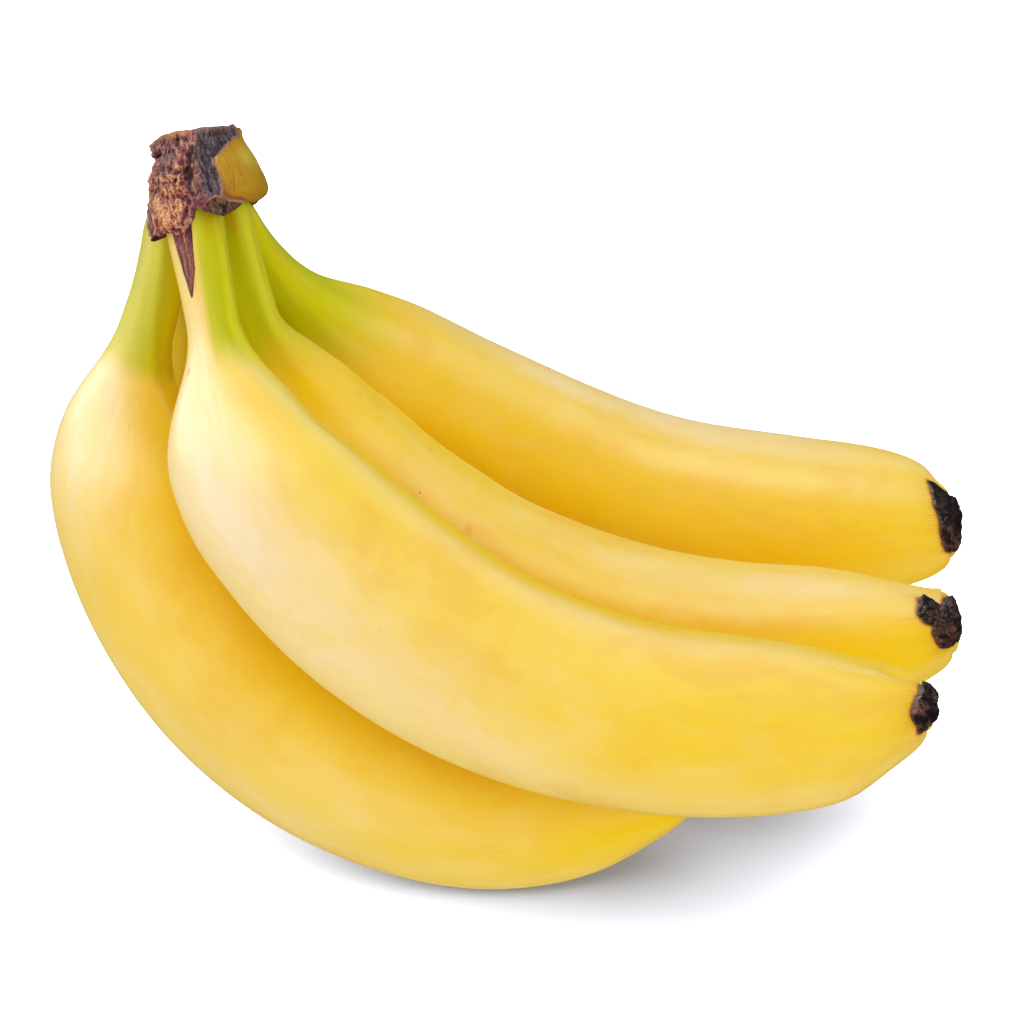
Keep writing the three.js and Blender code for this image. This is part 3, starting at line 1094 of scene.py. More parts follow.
class Peel:
    """Builds the skin of one finger and stores on it what its finish reads."""

    MARKS = ("green", "ridge", "trail", "scorch", "singe", "painted_shade", "painted_highlight", "brown")
    # how the rings crowd towards the tip, and how near to its pole the last one lies
    CROWDING = 1.15
    LAST_REACH = 0.12
    # shares of the length between which the ridges come up
    RIDGE_START, RIDGE_RISE = 0.1, 0.1
    # the green's wavy end, and how much of it the pale side loses over how many degrees
    GREEN_WAVE, GREEN_WAVE_SIZE = 0.008, 14.0
    GREEN_LOSS, GREEN_TURN = 0.92, 16.0
    # the trail lies this far beside the ridge, in radians, and starts at this share
    TRAIL_ASIDE, TRAIL_START, TRAIL_RISE = 0.12, 0.1, 0.06
    # waves of the skin and the distance from the pole at which they are full
    WAVES = ((0.16, (1.0, 1.0, 0.5), 16.0), (0.05, (1.0, 1.0, 0.3), 4.0))
    WAVE_FADE = 20.0
    # how far the scorch and the singe reach, how ragged they are, and where they end
    SCORCH_REACH, SINGE_REACH = 0.75, 3.0
    SCORCH_RAGS, SCORCH_END = 0.35, 12.0
    # a bruise's girth as a share of the belly's
    BRUISE_GIRTH = 0.8

    def __init__(self, finger: Finger, crust: Crust) -> None:
        """Lays out the grid of the peel, with rings closer together near the tip.

        Args:
            finger: the finger whose peel this is.
            crust: the dried end that scorches it.
        """
        self.finger = finger
        self.crust = crust
        self.grain = Grain(finger.seed)
        start = float(finger.reach_of(np.array([0.0]))[0])
        reach = start * (1.0 - np.linspace(0.0, 1.0, finger.rings)) ** self.CROWDING
        reach[-1] = self.LAST_REACH
        angle = np.linspace(0.0, TURN, finger.points, endpoint=False)
        self.reach, self.angle = np.meshgrid(reach, angle, indexing="ij")
        self.share = np.interp(self.reach, finger.reach[::-1], finger.share[::-1])
        girth, length = finger.belly, self.share * finger.spine.length
        # place on the unrolled peel: a circle round the belly, and distance along the finger
        self.flow = np.stack([girth * np.cos(self.angle), girth * np.sin(self.angle), length], -1)

    def ridge(self) -> Array:
        """1 on a ridge, falling to 0 on the flats and at the root: the highest of the ridges' bells."""
        finger = self.finger
        bells = [finger.ridge_profile(self.angle, self.share, k) for k in range(len(finger.ridges))]
        return np.max(bells, axis=0) * smooth((self.share - self.RIDGE_START) / self.RIDGE_RISE)

    def green(self) -> Array:
        """How unripe the peel is: 1 on the neck and less on its pale side."""
        finger = self.finger
        edge = finger.green_end + self.GREEN_WAVE * self.grain.at(self.flow, self.GREEN_WAVE_SIZE)
        neck = 1.0 - smooth((self.share - edge) / finger.green_blur + 0.5)
        turned = np.degrees(np.mod(self.angle + math.pi / 2, TURN)) - 90.0
        loss = self.GREEN_LOSS * smooth((turned - finger.green_from) / self.GREEN_TURN + 0.5)
        return neck * (1.0 - loss)

    def trail(self) -> Array:
        """The pale green line that the neck's colour draws out along the inner side of the first ridge."""
        finger = self.finger
        if not finger.green_edge:
            return np.zeros_like(self.share)
        line = finger.ridge_profile(self.angle + self.TRAIL_ASIDE, self.share, 0)
        line = line * smooth((self.share - self.TRAIL_START) / self.TRAIL_RISE)
        beyond = self.share - finger.green_end - self.TRAIL_RISE
        return line * (1.0 - smooth(beyond / finger.green_edge))

    def total(self, bands: Sequence[Band]) -> Array:
        """The bands added up and held between 0 and 1."""
        strengths = (band.at(self.share, self.angle) for band in bands)
        return np.clip(sum(strengths, np.zeros_like(self.share)), 0.0, 1.0)

    def blotches(self) -> Array:
        """Small bruises: a bell over the distance on the peel from each one's share and angle."""
        finger = self.finger
        stain = np.zeros_like(self.share)
        for place, bearing, size, strength in finger.browns:
            along = (self.share - place) * finger.spine.length
            around = wrapped(self.angle - math.radians(bearing)) * finger.belly * self.BRUISE_GIRTH
            stain = np.maximum(stain, strength * np.exp(-(along**2 + around**2) / size**2))
        return stain

    def scorches(self) -> dict[str, Array]:
        """The scorched ring round the crust and the wide singe outside it: each falls with the distance."""
        outside = self.crust.outside(self.reach, self.angle)
        beyond = np.maximum(outside + self.SCORCH_RAGS * self.grain.layered(self.flow, 2.0, 3), 0.0)
        near = smooth(2.0 - self.reach / self.SCORCH_END)
        return {
            "scorch": near * np.exp(-beyond / self.SCORCH_REACH),
            "singe": near * np.exp(-beyond / self.SINGE_REACH),
        }

    def skin(self) -> Array:
        """The finger's skin with slight waves, which fade at the tip, held above the floor."""
        points = self.finger.skin(self.reach, self.angle)
        waves = sum(height * self.grain.at(self.flow * scale, size) for height, scale, size in self.WAVES)
        waves = waves * smooth(self.reach / self.WAVE_FADE)
        points = points + grid_normals(points) * waves[..., None]
        points[..., 2] = np.maximum(points[..., 2], 0.0)
        return points

    def build(self, material: Material) -> Piece:
        """Makes the finger.

        Args:
            material: the peel's finish.

        Returns:
            The piece.
        """
        finger = self.finger
        ends, headings = finger.spine.at(np.array([0.0, 1.0]))
        pole = ends[1] + headings[1] * finger.cap
        name = f"banana_{finger.name}"
        thing = closed_skin(name, self.skin(), ends[0], pole)
        paint_vector(thing, "flow", self.flow)
        # the bands of deep gold are stored as painted shade and the bands of cream as painted highlight
        marks = {"ridge": self.ridge(), "green": self.green(), "trail": self.trail(),
                 "painted_shade": self.total(finger.painted_shades), "painted_highlight": self.total(finger.painted_highlights),
                 "brown": self.blotches()} | self.scorches()
        for mark in self.MARKS:
            paint(thing, mark, marks[mark], 0.0, float(mark in ("scorch", "singe")))
        settle(thing, Slot.PEEL, material, name)
        return thing


@dataclass
class Spike:
    """The dried spike: a flattened, tapering strand that leaves the crown and lies on a finger's neck.

    Its path is given by shares of the finger's length and angles round its spine, in degrees. It narrows by a
    power of the way to its point, from nearly its full width to the least.
    """

    finger: Finger
    shares: Sequence[float] = (0.008, 0.03, 0.062, 0.082, 0.099)
    bearings: Sequence[float] = (120.0, 120.5, 121.0, 122.0, 125.0)
    half_width: float = 2.45
    thick: float = 1.15
    narrowing: float = 0.8
    least: float = 0.03
    widest: float = 0.97
    ragged: float = 0.22
    groove: float = 0.28
    rows: int = 120
    columns: int = 72
    seed: int = 70
    probe: float = 0.02
    scarred: float = 1.0
    bruised: float = 0.45

    def build(self, material: Material) -> Piece:
        """Makes the spike.

        Args:
            material: its finish.

        Returns:
            The piece.
        """
        grain = Grain(self.seed)
        row = np.linspace(0.0, 1.0, self.rows)
        knots = np.linspace(0.0, 1.0, len(self.shares))
        path = through(knots, np.stack([self.shares, self.bearings], -1), row)
        share, bearing = path[:, 0], np.radians(path[:, 1])
        turn = np.linspace(0.0, TURN, self.columns, endpoint=False)
        s, t = np.meshgrid(row, turn, indexing="ij")
        taper = (1.0 - s) ** self.narrowing * (self.widest - self.least) + self.least
        flow = np.stack([3.0 * np.cos(t), 3.0 * np.sin(t), 22.0 * s], -1)
        ragged = 1.0 + self.ragged * grain.layered(flow * (1.0, 1.0, 0.35), 1.6, 3)
        sideways = self.half_width * taper * np.cos(t) * ragged
        above = self.thick * (taper**0.6) * np.sin(t)
        grooves = self.groove * taper**0.5
        grooves = grooves * grain.layered(np.stack([sideways * 2.4, s * 3.0, s * 0.0], -1), 0.8, 3)
        height = np.where(above > 0, above + grooves * np.sin(t), above * 0.5)
        reach = self.finger.reach_of(share)[:, None] + np.zeros_like(s)
        around = bearing[:, None] - sideways / self.finger.neck
        base = self.finger.skin(reach, around)
        normal = unit(np.cross(self.finger.skin(reach, around + self.probe) - base,
                               self.finger.skin(reach - self.probe * 5, around) - base))
        points = base + normal * height[..., None]
        thing = closed_skin("crown_spike", points, points[0].mean(0), points[-1].mean(0))
        crest = np.clip(0.36 + 2.2 * grooves, 0.0, 1.0)
        # black painted shade on the spike's lowest places
        hollow_shade = 0.6 * smooth(0.45 - height)
        marks = {"scar": self.scarred, "crest": crest, "mauve": self.bruised, "hollow_shade": hollow_shade}
        for name in Crown.ZONES + Crown.MARKS:
            paint(thing, name, marks.get(name, 0.0) + np.zeros_like(s), 0.5, 0.5)
        paint_vector(thing, "flow", flow)
        settle(thing, Slot.STALK, material, "crown")
        return thing


@dataclass(frozen=True)
class Spot:
    """A soft round place on the crown as seen from the front: its middle, its half sizes and its strength."""

    across: float
    height: float
    wide: float
    tall: float
    strength: float = 1.0

    def at(self, across: Array, height: Array) -> Array:
        """A bell of height 1: e to the power of minus the squared distances in half sizes.

        Args:
            across: places across the crown.
            height: heights above its centre.

        Returns:
            The bell's height at each.
        """
        return bump(across, self.across, self.wide) * bump(height, self.height, self.tall)


@dataclass
class Crown:
    """The cut crown: a lumpy block of stalk that the necks grow into, with its zones.

    Across runs to the right along the cut, depth runs along the row of necks, and height runs up to the cut.
    The zones are the torn scar, the dark strip beside it, the pad of sound skin, the lip under the pad, and
    the dried cut on top.
    """

    ZONES = ("scar", "strip", "pad", "lip", "cut")
    MARKS = ("hollow_shade", "crest", "mauve", "frill", "warmth", "pad_highlight")

    centre: Sequence[float] = (-60, 21, 127)
    across: Sequence[float] = (0.96, 0.135, 0.234)
    inward: Sequence[float] = (0, 0.866, -0.5)
    squareness: float = 2.9
    columns: int = 460
    side_rows: int = 150
    under_rows: int = 10
    cut_rows: int = 34
    seed: int = 90
    # height above the centre, then how far the block reaches left, right, front and back of it
    levels: Table = (
        (-12.5, -12.5, 6.4, -23.0, 14.0), (-10.8, -12.9, 6.8, -23.4, 15.5), (-8.0, -13.0, 7.8, -23.8, 17.5),
        (-7.0, -12.8, 9.2, -23.9, 18.0), (-6.2, -12.6, 9.9, -23.9, 18.2), (-5.0, -12.2, 10.1, -24.0, 18.4),
        (-2.6, -11.3, 9.7, -24.0, 18.4), (0.5, -10.0, 9.1, -23.4, 18.0), (2.0, -9.2, 8.6, -23.0, 17.4),
        (3.2, -8.6, 8.2, -22.6, 17.0), (5.0, -8.2, 7.9, -22.4, 16.4), (7.4, -7.6, 8.1, -22.4, 16.0),
    )
    # the lower and upper edges as seen from the front: rows of across, height
    bottom: Table = (
        (-13.0, -7.4), (-12.4, -8.6), (-12.0, -10.8), (-11.6, -11.7), (-11.1, -11.0), (-10.0, -11.3),
        (-8.2, -11.3), (-6.3, -12.1), (-4.5, -11.9), (-3.3, -11.2), (-1.8, -10.0), (-1.2, -8.7), (-0.3, -8.5),
        (1.6, -9.8), (4.4, -11.2), (5.5, -10.8), (7.8, -10.0), (9.5, -8.8),
    )
    bottom_back: float = -7.6
    top: Table = (
        (-13, 6.2), (-10, 6.6), (-8.6, 6.7), (-6.3, 6.6), (-3.5, 6.4), (-0.7, 6.1), (1.5, 6.0), (3.5, 5.9),
        (5.2, 5.7), (7.2, 5.6), (8.8, 5.7), (9.9, 6.4),
    )
    # where the pad and the strip begin on the front: rows of height, across
    pad_edge: Table = (
        (-9.5, 4.4), (-8.8, 3.7), (-7.5, 2.9), (-5.7, 3.5), (-3.8, 3.4), (-1.4, 3.0), (-0.3, 3.3), (0.2, 4.4),
        (2.1, 6.6), (3.8, 8.0), (5, 9.3), (5.6, 10.5), (6.5, 12.0),
    )
    pad_edge_back: float = -1.5
    strip_edge: Table = (
        (-12, -0.8), (-7.1, 0.3), (-4.4, -0.2), (-1.5, 0.0), (1.5, 0.0), (5.3, 1.2),
    )
    strip_edge_back: float = -5.5
    # the lip's upper edge on the front: rows of across, height
    lip_edge: Table = (
        (-1, -8.4), (0.6, -7.5), (1.9, -7.3), (3.8, -8.7), (7.8, -9.6), (12, -9.7),
    )
    lip_back: float = 0.7
    lip_start: float = -0.6
    pit: Spot = Spot(-2.0, -1.9, 0.9, 2.0, -1.7)
    nub: Spot = Spot(-11.5, -11.3, 0.8, 0.8, 1.5)
    lobe: Spot = Spot(-9.0, 5.4, 2.0, 1.0, 0.4)
    notch_height: float = 3.6
    notch_half: float = 0.42
    notch_end: float = -6.0
    notch_depth: float = -2.3
    orange: Spot = Spot(-7.0, -5.5, 5.0, 6.5, 0.24)
    mauves: Sequence[Spot] = (Spot(-1.2, -6.5, 2.2, 4.0), Spot(-4.0, -11.0, 3.0, 2.2, 0.8))

    @staticmethod
    def along(table: Table, x: Array) -> Array:
        """Reads an edge: straight lines between its rows."""
        rows = np.asarray(table, float)
        return np.interp(x, rows[:, 0], rows[:, 1])

    def outline(self, height: Array, angle: Array) -> tuple[Array, Array]:
        """The block's skin at a height: a squared oval between its reaches.

        Args:
            height: height above the centre.
            angle: angle round the block, in radians.

        Returns:
            Across and depth: half the reach times the cosine and the sine, each to the power of 2 over the
            squareness.
        """
        table = np.asarray(self.levels, float)
        reaches = through(table[:, 0], table[:, 1:], np.clip(height, table[0, 0], table[-1, 0]))
        left, right, front, back = (reaches[..., k] for k in range(4))
        power = 2.0 / self.squareness
        c, s = np.cos(angle), np.sin(angle)
        across = (left + right) / 2 + (right - left) / 2 * np.sign(c) * np.abs(c) ** power
        depth = (front + back) / 2 + (back - front) / 2 * np.sign(s) * np.abs(s) ** power
        return across, depth

    def build(self, material: Material) -> Piece:
        """Makes the crown.

        Args:
            material: its finish.

        Returns:
            The piece.
        """
        skin = CrownSkin(self)
        right = unit(np.asarray(self.across, float))
        back = unit(np.asarray(self.inward, float))
        axes = np.stack([right, back, np.cross(right, back)])
        points = np.asarray(self.centre, float) + skin.roughened() @ axes
        thing = closed_skin("crown", points, points[0].mean(0), points[-1].mean(0))
        for name, values in (skin.zone | skin.marks()).items():
            paint(thing, name, values, 0.0, float(name == "cut"))
        paint_vector(thing, "flow", skin.flow)
        settle(thing, Slot.STALK, material, "crown")
        return thing


class CrownSkin:
    """The crown's grid and what is worked out on it: its zones, its roughness and its marks."""

    # the height whose outline is the plan, and the depths over which the front gives way to the back
    WAIST = -6.0
    FRONT_END = -10.0
    FRONT_FADE = 16.0
    # how far the rows under the block and on its cut stand out from the axis, as shares of its side
    UNDER_SPAN = (0.35, 0.985)
    CUT_SPAN = (0.012, 0.97)
    CUT_POWER = 1.25
    # how ragged the lower and upper edges are, and how wide each zone's edge is
    RAGS = (0.35, 0.18)
    PAD_EDGE, SCAR_EDGE, LIP_EDGE, CUT_EDGE = 0.35, 0.7, 0.4, 0.03
    # how far each zone is pushed out: all of it, then by chunks, folds, strands and crumbs
    PUSHES = {
        "scar": (0.0, 0.95, 0.42, 0.6, 0.16),
        "strip": (-0.3, 0.15, 0.12, 0.5, 0.0),
        "pad": (0.7, 0.1, 0.0, 0.0, 0.0),
        "lip": (-0.35, 0.0, 0.0, -0.3, 0.0),
    }
    # the same for the height that the colours read
    RELIEF = (0.0, 0.8, 0.8, 1.0, 0.8)
    CREST_LEVEL = 0.37
    CREST_SPREAD = 0.19

    def __init__(self, sizes: Crown) -> None:
        """Lays out the grid and works out the zones and the push of each point.

        Args:
            sizes: the crown's sizes.
        """
        self.sizes = sizes
        self.grain = Grain(sizes.seed)
        self.lay_out()
        self.find_edges()
        self.zone = self.part()
        self.side = 1.0 - self.zone["cut"]
        self.rim = bump(self.rise, 1.0, 0.045) * self.side
        self.read_noise()
        self.push = self.roughen()

    def lay_out(self) -> None:
        """The smooth grid: rows under the block, up its side, and in over the cut to its axis."""
        sizes, grain = self.sizes, self.grain
        angle = np.linspace(0.0, TURN, sizes.columns, endpoint=False)
        rise = np.concatenate([np.zeros(sizes.under_rows), np.linspace(0.0, 1.0, sizes.side_rows),
                               np.ones(sizes.cut_rows)])
        inwards = np.linspace(*self.CUT_SPAN, sizes.cut_rows) ** self.CUT_POWER
        shrink = np.concatenate([np.linspace(*self.UNDER_SPAN, sizes.under_rows), np.ones(sizes.side_rows),
                                 1.0 - inwards])
        self.rise, turn = np.meshgrid(rise, angle, indexing="ij")
        self.shrink = shrink[:, None] + np.zeros_like(turn)
        plan_across, plan_depth = sizes.outline(np.full_like(turn, self.WAIST), turn)
        self.front = 1.0 - smooth((plan_depth - self.FRONT_END) / self.FRONT_FADE)
        plan = np.stack([plan_across, plan_depth, turn * 0], -1)
        low = self.blend(sizes.along(sizes.bottom, plan_across), sizes.bottom_back)
        low = low + self.RAGS[0] * grain.layered(plan, 2.0, 3)
        high = sizes.along(sizes.top, plan_across) + self.RAGS[1] * grain.layered(plan + (0, 0, 5), 1.4, 3)
        self.height = low + self.rise * (high - low)
        across, depth = sizes.outline(self.height, turn)
        self.across, self.depth = across * self.shrink, depth * self.shrink
        self.flow = np.stack([self.across, self.depth, self.height], -1)

    def blend(self, front: Array, back: float) -> Array:
        """One value on the front that turns into another towards the back."""
        return self.front * front + (1.0 - self.front) * back

    def find_edges(self) -> None:
        """How far each point lies right of the pad's and scar's wavy edges, and where the lip's edge is."""
        sizes = self.sizes
        self.wobble = 0.35 * self.grain.layered(self.flow + 11.0, 2.4, 3)
        self.pad_edge = self.blend(sizes.along(sizes.pad_edge, self.height), sizes.pad_edge_back)
        self.past_pad = self.across + self.wobble - self.pad_edge
        strip_edge = self.blend(sizes.along(sizes.strip_edge, self.height), sizes.strip_edge_back)
        self.past_scar = self.across + 1.6 * self.wobble - strip_edge
        lip_back = sizes.bottom_back + sizes.lip_back
        self.lip_top = self.blend(sizes.along(sizes.lip_edge, self.across), lip_back)
        self.under_pad = smooth((self.across - sizes.lip_start) / 0.8)

    def part(self) -> dict[str, Array]:
        """The zones: each is 1 inside and falls smoothly to 0 across its edge."""
        above_lip = smooth((self.height - self.lip_top + 0.5 * self.wobble) / self.LIP_EDGE + 0.5)
        lip = self.under_pad * (1.0 - above_lip)
        cut = smooth((1.0 - self.shrink) / self.CUT_EDGE) * (self.rise > 0.5)
        rest = (1.0 - lip) * (1.0 - cut)
        pad = smooth(self.past_pad / self.PAD_EDGE + 0.5) * rest
        pad = pad * (1.0 - smooth((self.rise - 0.965) / 0.02))
        scar = (1.0 - smooth(self.past_scar / self.SCAR_EDGE + 0.5)) * rest
        strip = (1.0 - pad) * (1.0 - scar) * rest
        return {"scar": scar, "strip": strip, "pad": pad, "lip": lip, "cut": cut}

    def read_noise(self) -> None:
        """Noise on the skin: long strands, lumps, and folds and crumbs with sharp creases."""
        grain, flow = self.grain, self.flow
        bends = [0.9 * grain.at(flow + 31.0, 3.0), 0.9 * grain.at(flow + 47.0, 3.0),
                 1.2 * grain.at(flow + 61.0, 3.0)]
        warped = flow + np.stack(bends, -1)
        self.strands = grain.layered(warped * (1.7, 1.7, 0.4), 1.0, 4)
        self.chunks = grain.layered(flow + 3.0, 3.4, 3)
        self.folds = creased(grain.layered(warped * (1.1, 1.1, 0.5) + 17.0, 1.4, 4))
        self.crumbs = creased(grain.layered(warped * (1.0, 1.0, 0.6) + 23.0, 0.8, 3))

    def edgings(self) -> tuple[Array, Array]:
        """The raised edges: the frayed frill along the strip's two sides, and the hem along the lip."""
        ragged = smooth(0.6 + 2.5 * self.grain.at(self.flow + 71.0, 2.2))
        frill = bump(self.past_pad, -0.22, 0.2) * ragged
        frill += 0.7 * bump(self.past_scar, 0.0, 0.16) * (self.height > self.WAIST)
        frill = frill * self.front * (1.0 - self.zone["lip"]) * self.side
        hem = bump(self.height, self.lip_top + 0.1, 0.16) * self.under_pad * self.front * self.side
        return frill, hem

    def mixed(self, weights: Sequence[float]) -> Array:
        """A level and the four noises by their weights: the sum of each weight times its noise."""
        level, *shares = weights
        noises = (self.chunks, self.folds, self.strands, self.crumbs)
        return level + sum(share * noise for share, noise in zip(shares, noises))

    def roughen(self) -> Array:
        """How far each point is pushed out: each zone's own mix of noise, and the single marks."""
        sizes, strands = self.sizes, self.strands
        push = sum(self.zone[name] * self.mixed(weights) for name, weights in self.PUSHES.items())
        self.frill, self.hem = self.edgings()
        push += 0.4 * self.frill + 0.3 * self.hem
        self.pit = sizes.pit.at(self.across, self.height) * self.front * smooth(0.75 + 1.6 * strands)
        left = smooth((sizes.notch_end - self.across) / 1.2) * smooth(-0.1 * self.depth + 0.4)
        self.notch = bump(self.height, sizes.notch_height, sizes.notch_half) * left
        self.nub = sizes.nub.at(self.across, self.height) * self.front
        push += sizes.pit.strength * self.pit + sizes.notch_depth * self.notch + sizes.nub.strength * self.nub
        push += (0.35 + 0.25 * strands) * self.rim
        push += sizes.lobe.strength * sizes.lobe.at(self.across, self.height) * self.front
        return push

    def marks(self) -> dict[str, Array]:
        """What the finish reads beside the zones, each 0 to 1: painted shade in hollows, crests, tints, pale
        edges and a painted highlight on the pad.
        """
        sizes, scar, pad = self.sizes, self.zone["scar"], self.zone["pad"]
        across, height = self.across, self.height
        relief = self.mixed(self.RELIEF)
        glow = sizes.orange.strength * (sizes.orange.at(across, height) - 0.4) * scar
        crest = self.CREST_LEVEL + self.CREST_SPREAD * relief / relief.std() + 0.25 * self.rim + glow
        mauve = sum(spot.strength * spot.at(across, height) for spot in sizes.mauves)
        mauve = mauve + 0.7 * smooth((-11.0 - across) / 1.2)
        mauve = mauve + 0.85 * smooth((height + 1.5) / 4.0) * (1.0 - self.rim)
        beside = np.exp(-np.maximum(across - self.pad_edge, 0.0) / 2.8)
        above = np.exp(-np.maximum(height - self.lip_top, 0.0) / 1.1)
        warmth = np.clip(0.75 * beside + 0.95 * above + 0.3 * self.chunks, 0.0, 1.0) * pad
        # painted highlight on the pad's upper right
        high_right = smooth((across - 6.3) / 2.0) * smooth((height + 4.5) / 3.5)
        sunk = smooth(-self.push * scar * 1.3 - 0.3)
        # black painted shade in the pit, the notch, the nub and the sunken places of the scar
        hollow_shade = self.pit + 0.9 * self.notch + self.nub + 0.6 * sunk
        frill = self.frill + self.hem + 0.7 * self.rim
        return {
            "hollow_shade": np.clip(hollow_shade, 0.0, 1.0),
            "crest": np.clip(crest, 0.0, 1.0),
            "mauve": np.clip(mauve, 0.0, 1.0),
            "frill": np.clip(frill, 0.0, 1.0),
            "warmth": warmth,
            "pad_highlight": high_right * pad * (1.0 - 0.6 * warmth),
        }

    def roughened(self) -> Array:
        """The grid pushed out sideways by the roughness, with the cut sunk and the underside drawn up."""
        out = unit(np.stack([self.across, self.depth * 0.55, np.zeros_like(self.depth)], -1))
        pushed = self.flow + out * (self.push * self.side * smooth(self.rise / 0.02 + 0.3))[..., None]
        inside = smooth((1.0 - self.shrink) / 0.2)
        pushed[..., 2] -= self.zone["cut"] * (0.9 * inside + 0.45 * self.chunks + 0.3 * self.strands)
        pushed[..., 2] += (1.0 - self.shrink) * (self.rise < 0.5) * 3.0
        return pushed


# ---- finishes ----


@dataclass(frozen=True)
class PeelFinish:
    """Ripe peel: satin yellow with deep gold painted shade on its inner sides and cream painted highlight on
    its lit sides, lime on the neck, with streaks and specks.
    """

    yellow: Colour = srgb(249, 210, 54)
    # the peel's own deeper tone, and also its painted shade
    golden_and_shade: Colour = srgb(248, 206, 2)
    # the peel's own paler tone, and also its painted highlight
    cream_and_highlight: Colour = srgb(255, 231, 188)
    lime: Colour = srgb(212, 210, 14)
    leaf: Colour = srgb(187, 190, 2)
    # the pale green line on the neck, and also the neck's painted highlight
    mint_and_highlight: Colour = srgb(238, 224, 122)
    tawny: Colour = srgb(240, 184, 52)
    # olive is painted shade on the neck's inner sides
    olive: Colour = srgb(216, 182, 2)
    brown: Colour = srgb(104, 58, 26)
    amber: Colour = srgb(212, 138, 20)
    clear: Colour = (1.0, 1.0, 1.0)
    none: Colour = (0.0, 0.0, 0.0)
    roughness: float = 0.47
    specular: float = 0.34
    glow: float = 0.12
    glow_reach: Colour = (1.0, 0.6, 0.15)
    glow_scale: float = 0.0025

    def noises(self, g: Graph, flow: Socket) -> Sockets:
        """Noise on the unrolled peel, from broad clouds to a fine grain, most of it drawn out lengthwise.

        Args:
            g: the material's graph.
            flow: place on the unrolled peel, in millimetres.

        Returns:
            The noise sockets by name.
        """
        return {
            "broad": g.noise(g.stretch(flow, (0.05, 0.05, 0.022)), 1.0, 3.0, 0.5),
            "patch": g.noise(g.stretch(flow, (0.13, 0.13, 0.06)), 1.0, 4.0, 0.6, 0.4),
            "smudge": g.noise(g.stretch(flow, (0.09, 0.09, 0.05)), 1.0, 5.0, 0.55, 0.4),
            "streak": g.noise(g.stretch(flow, (0.55, 0.55, 0.03)), 1.0, 3.0, 0.55),
            "mottle": g.noise(g.stretch(flow, (0.4, 0.4, 0.24)), 1.0, 6.0, 0.68, 0.3),
            "fibre": g.noise(g.stretch(flow, (1.8, 1.8, 0.06)), 1.0, 3.0, 0.6),
            "fine": g.noise(flow, 2.6, 3.0, 0.6),
        }

    def body(self, g: Graph, mark: Sockets, noise: Sockets) -> Socket:
        """Colour of the ripe body: cream painted highlight on its lit sides and along its ridges, deep gold
        painted shade on its inner sides, with clouds, streaks, mottle and smudges.

        Args:
            g: the material's graph.
            mark: what the peel stores, by name.
            noise: the noise sockets, by name.

        Returns:
            The colour socket.
        """
        broad, patch, mottle = noise["broad"], noise["patch"], noise["mottle"]
        # smudges fade where the painted highlight is
        off_highlight = g.span(mark["painted_highlight"], 0.1, 0.6, 1.0, 0.2)
        return g.coats(
            self.yellow,
            (g.times(g.span(broad, 0.4, 0.7), 0.4), self.golden_and_shade),
            (g.times(g.span(patch, 0.5, 0.72), 0.28), self.golden_and_shade),
            (g.times(g.span(patch, 0.5, 0.28), 0.1), self.cream_and_highlight),
            # cream painted highlight on the lit sides
            (g.times(mark["painted_highlight"], g.span(patch, 0.75, 0.3, 0.6, 1.0)), self.cream_and_highlight),
            # cream painted highlight along the ridges
            (g.times(g.span(mark["ridge"], 0.5, 1.0), 0.14), self.cream_and_highlight),
            (g.times(g.span(noise["streak"], 0.55, 0.75), 0.1), self.golden_and_shade),
            (g.times(g.span(noise["fibre"], 0.55, 0.8), 0.06), self.cream_and_highlight),
            (g.times(g.span(mottle, 0.54, 0.74), 0.22), self.golden_and_shade),
            (g.times(g.span(mottle, 0.46, 0.26), 0.07), self.cream_and_highlight),
            (g.times(g.span(noise["smudge"], 0.44, 0.66), off_highlight, 0.42), self.tawny),
            (g.times(g.span(mottle, 0.6, 0.8), g.span(broad, 0.4, 0.65), 0.3), self.tawny),
            # deep gold painted shade on the inner sides
            (g.times(mark["painted_shade"], g.span(patch, 0.25, 0.7, 0.62, 0.95)), self.golden_and_shade),
        )

    def neck(self, g: Graph, mark: Sockets, noise: Sockets) -> Socket:
        """Colour of the unripe neck: lime and leaf green, with mint painted highlight on its lit side and
        olive painted shade on its inner sides.

        Args:
            g: the material's graph.
            mark: what the peel stores, by name.
            noise: the noise sockets, by name.

        Returns:
            The colour socket.
        """
        return g.coats(
            self.lime,
            (g.span(noise["broad"], 0.38, 0.62), self.leaf),
            (g.times(g.span(noise["streak"], 0.5, 0.75), 0.3), self.lime),
            # mint painted highlight on the neck's lit side
            (g.times(mark["painted_highlight"], 0.85), self.mint_and_highlight),
            # olive painted shade on the neck's inner sides
            (g.times(mark["painted_shade"], 0.9), self.olive),
        )

    def scorched(self, g: Graph, mark: Sockets, noise: Sockets, colour: object) -> Socket:
        """The scorched halo of the dried end, with fine cracks that run back from it.

        Args:
            g: the material's graph.
            mark: what the peel stores, by name.
            noise: the noise sockets, by name.
            colour: the peel beneath.

        Returns:
            The colour socket.
        """
        scorch, singe = mark["scorch"], mark["singe"]
        cracks = g.times(singe, g.span(noise["fibre"], 0.5, 0.68))
        return g.coats(
            colour,
            (g.times(g.span(cracks, 0.25, 0.7), 0.55), self.amber),
            (g.times(singe, g.span(noise["patch"], 0.3, 0.65, 0.1, 0.45)), self.amber),
            (g.times(g.span(scorch, 0.25, 0.8), 0.8), self.amber),
            (g.times(g.span(scorch, 0.7, 1.0), 0.85), self.brown),
        )

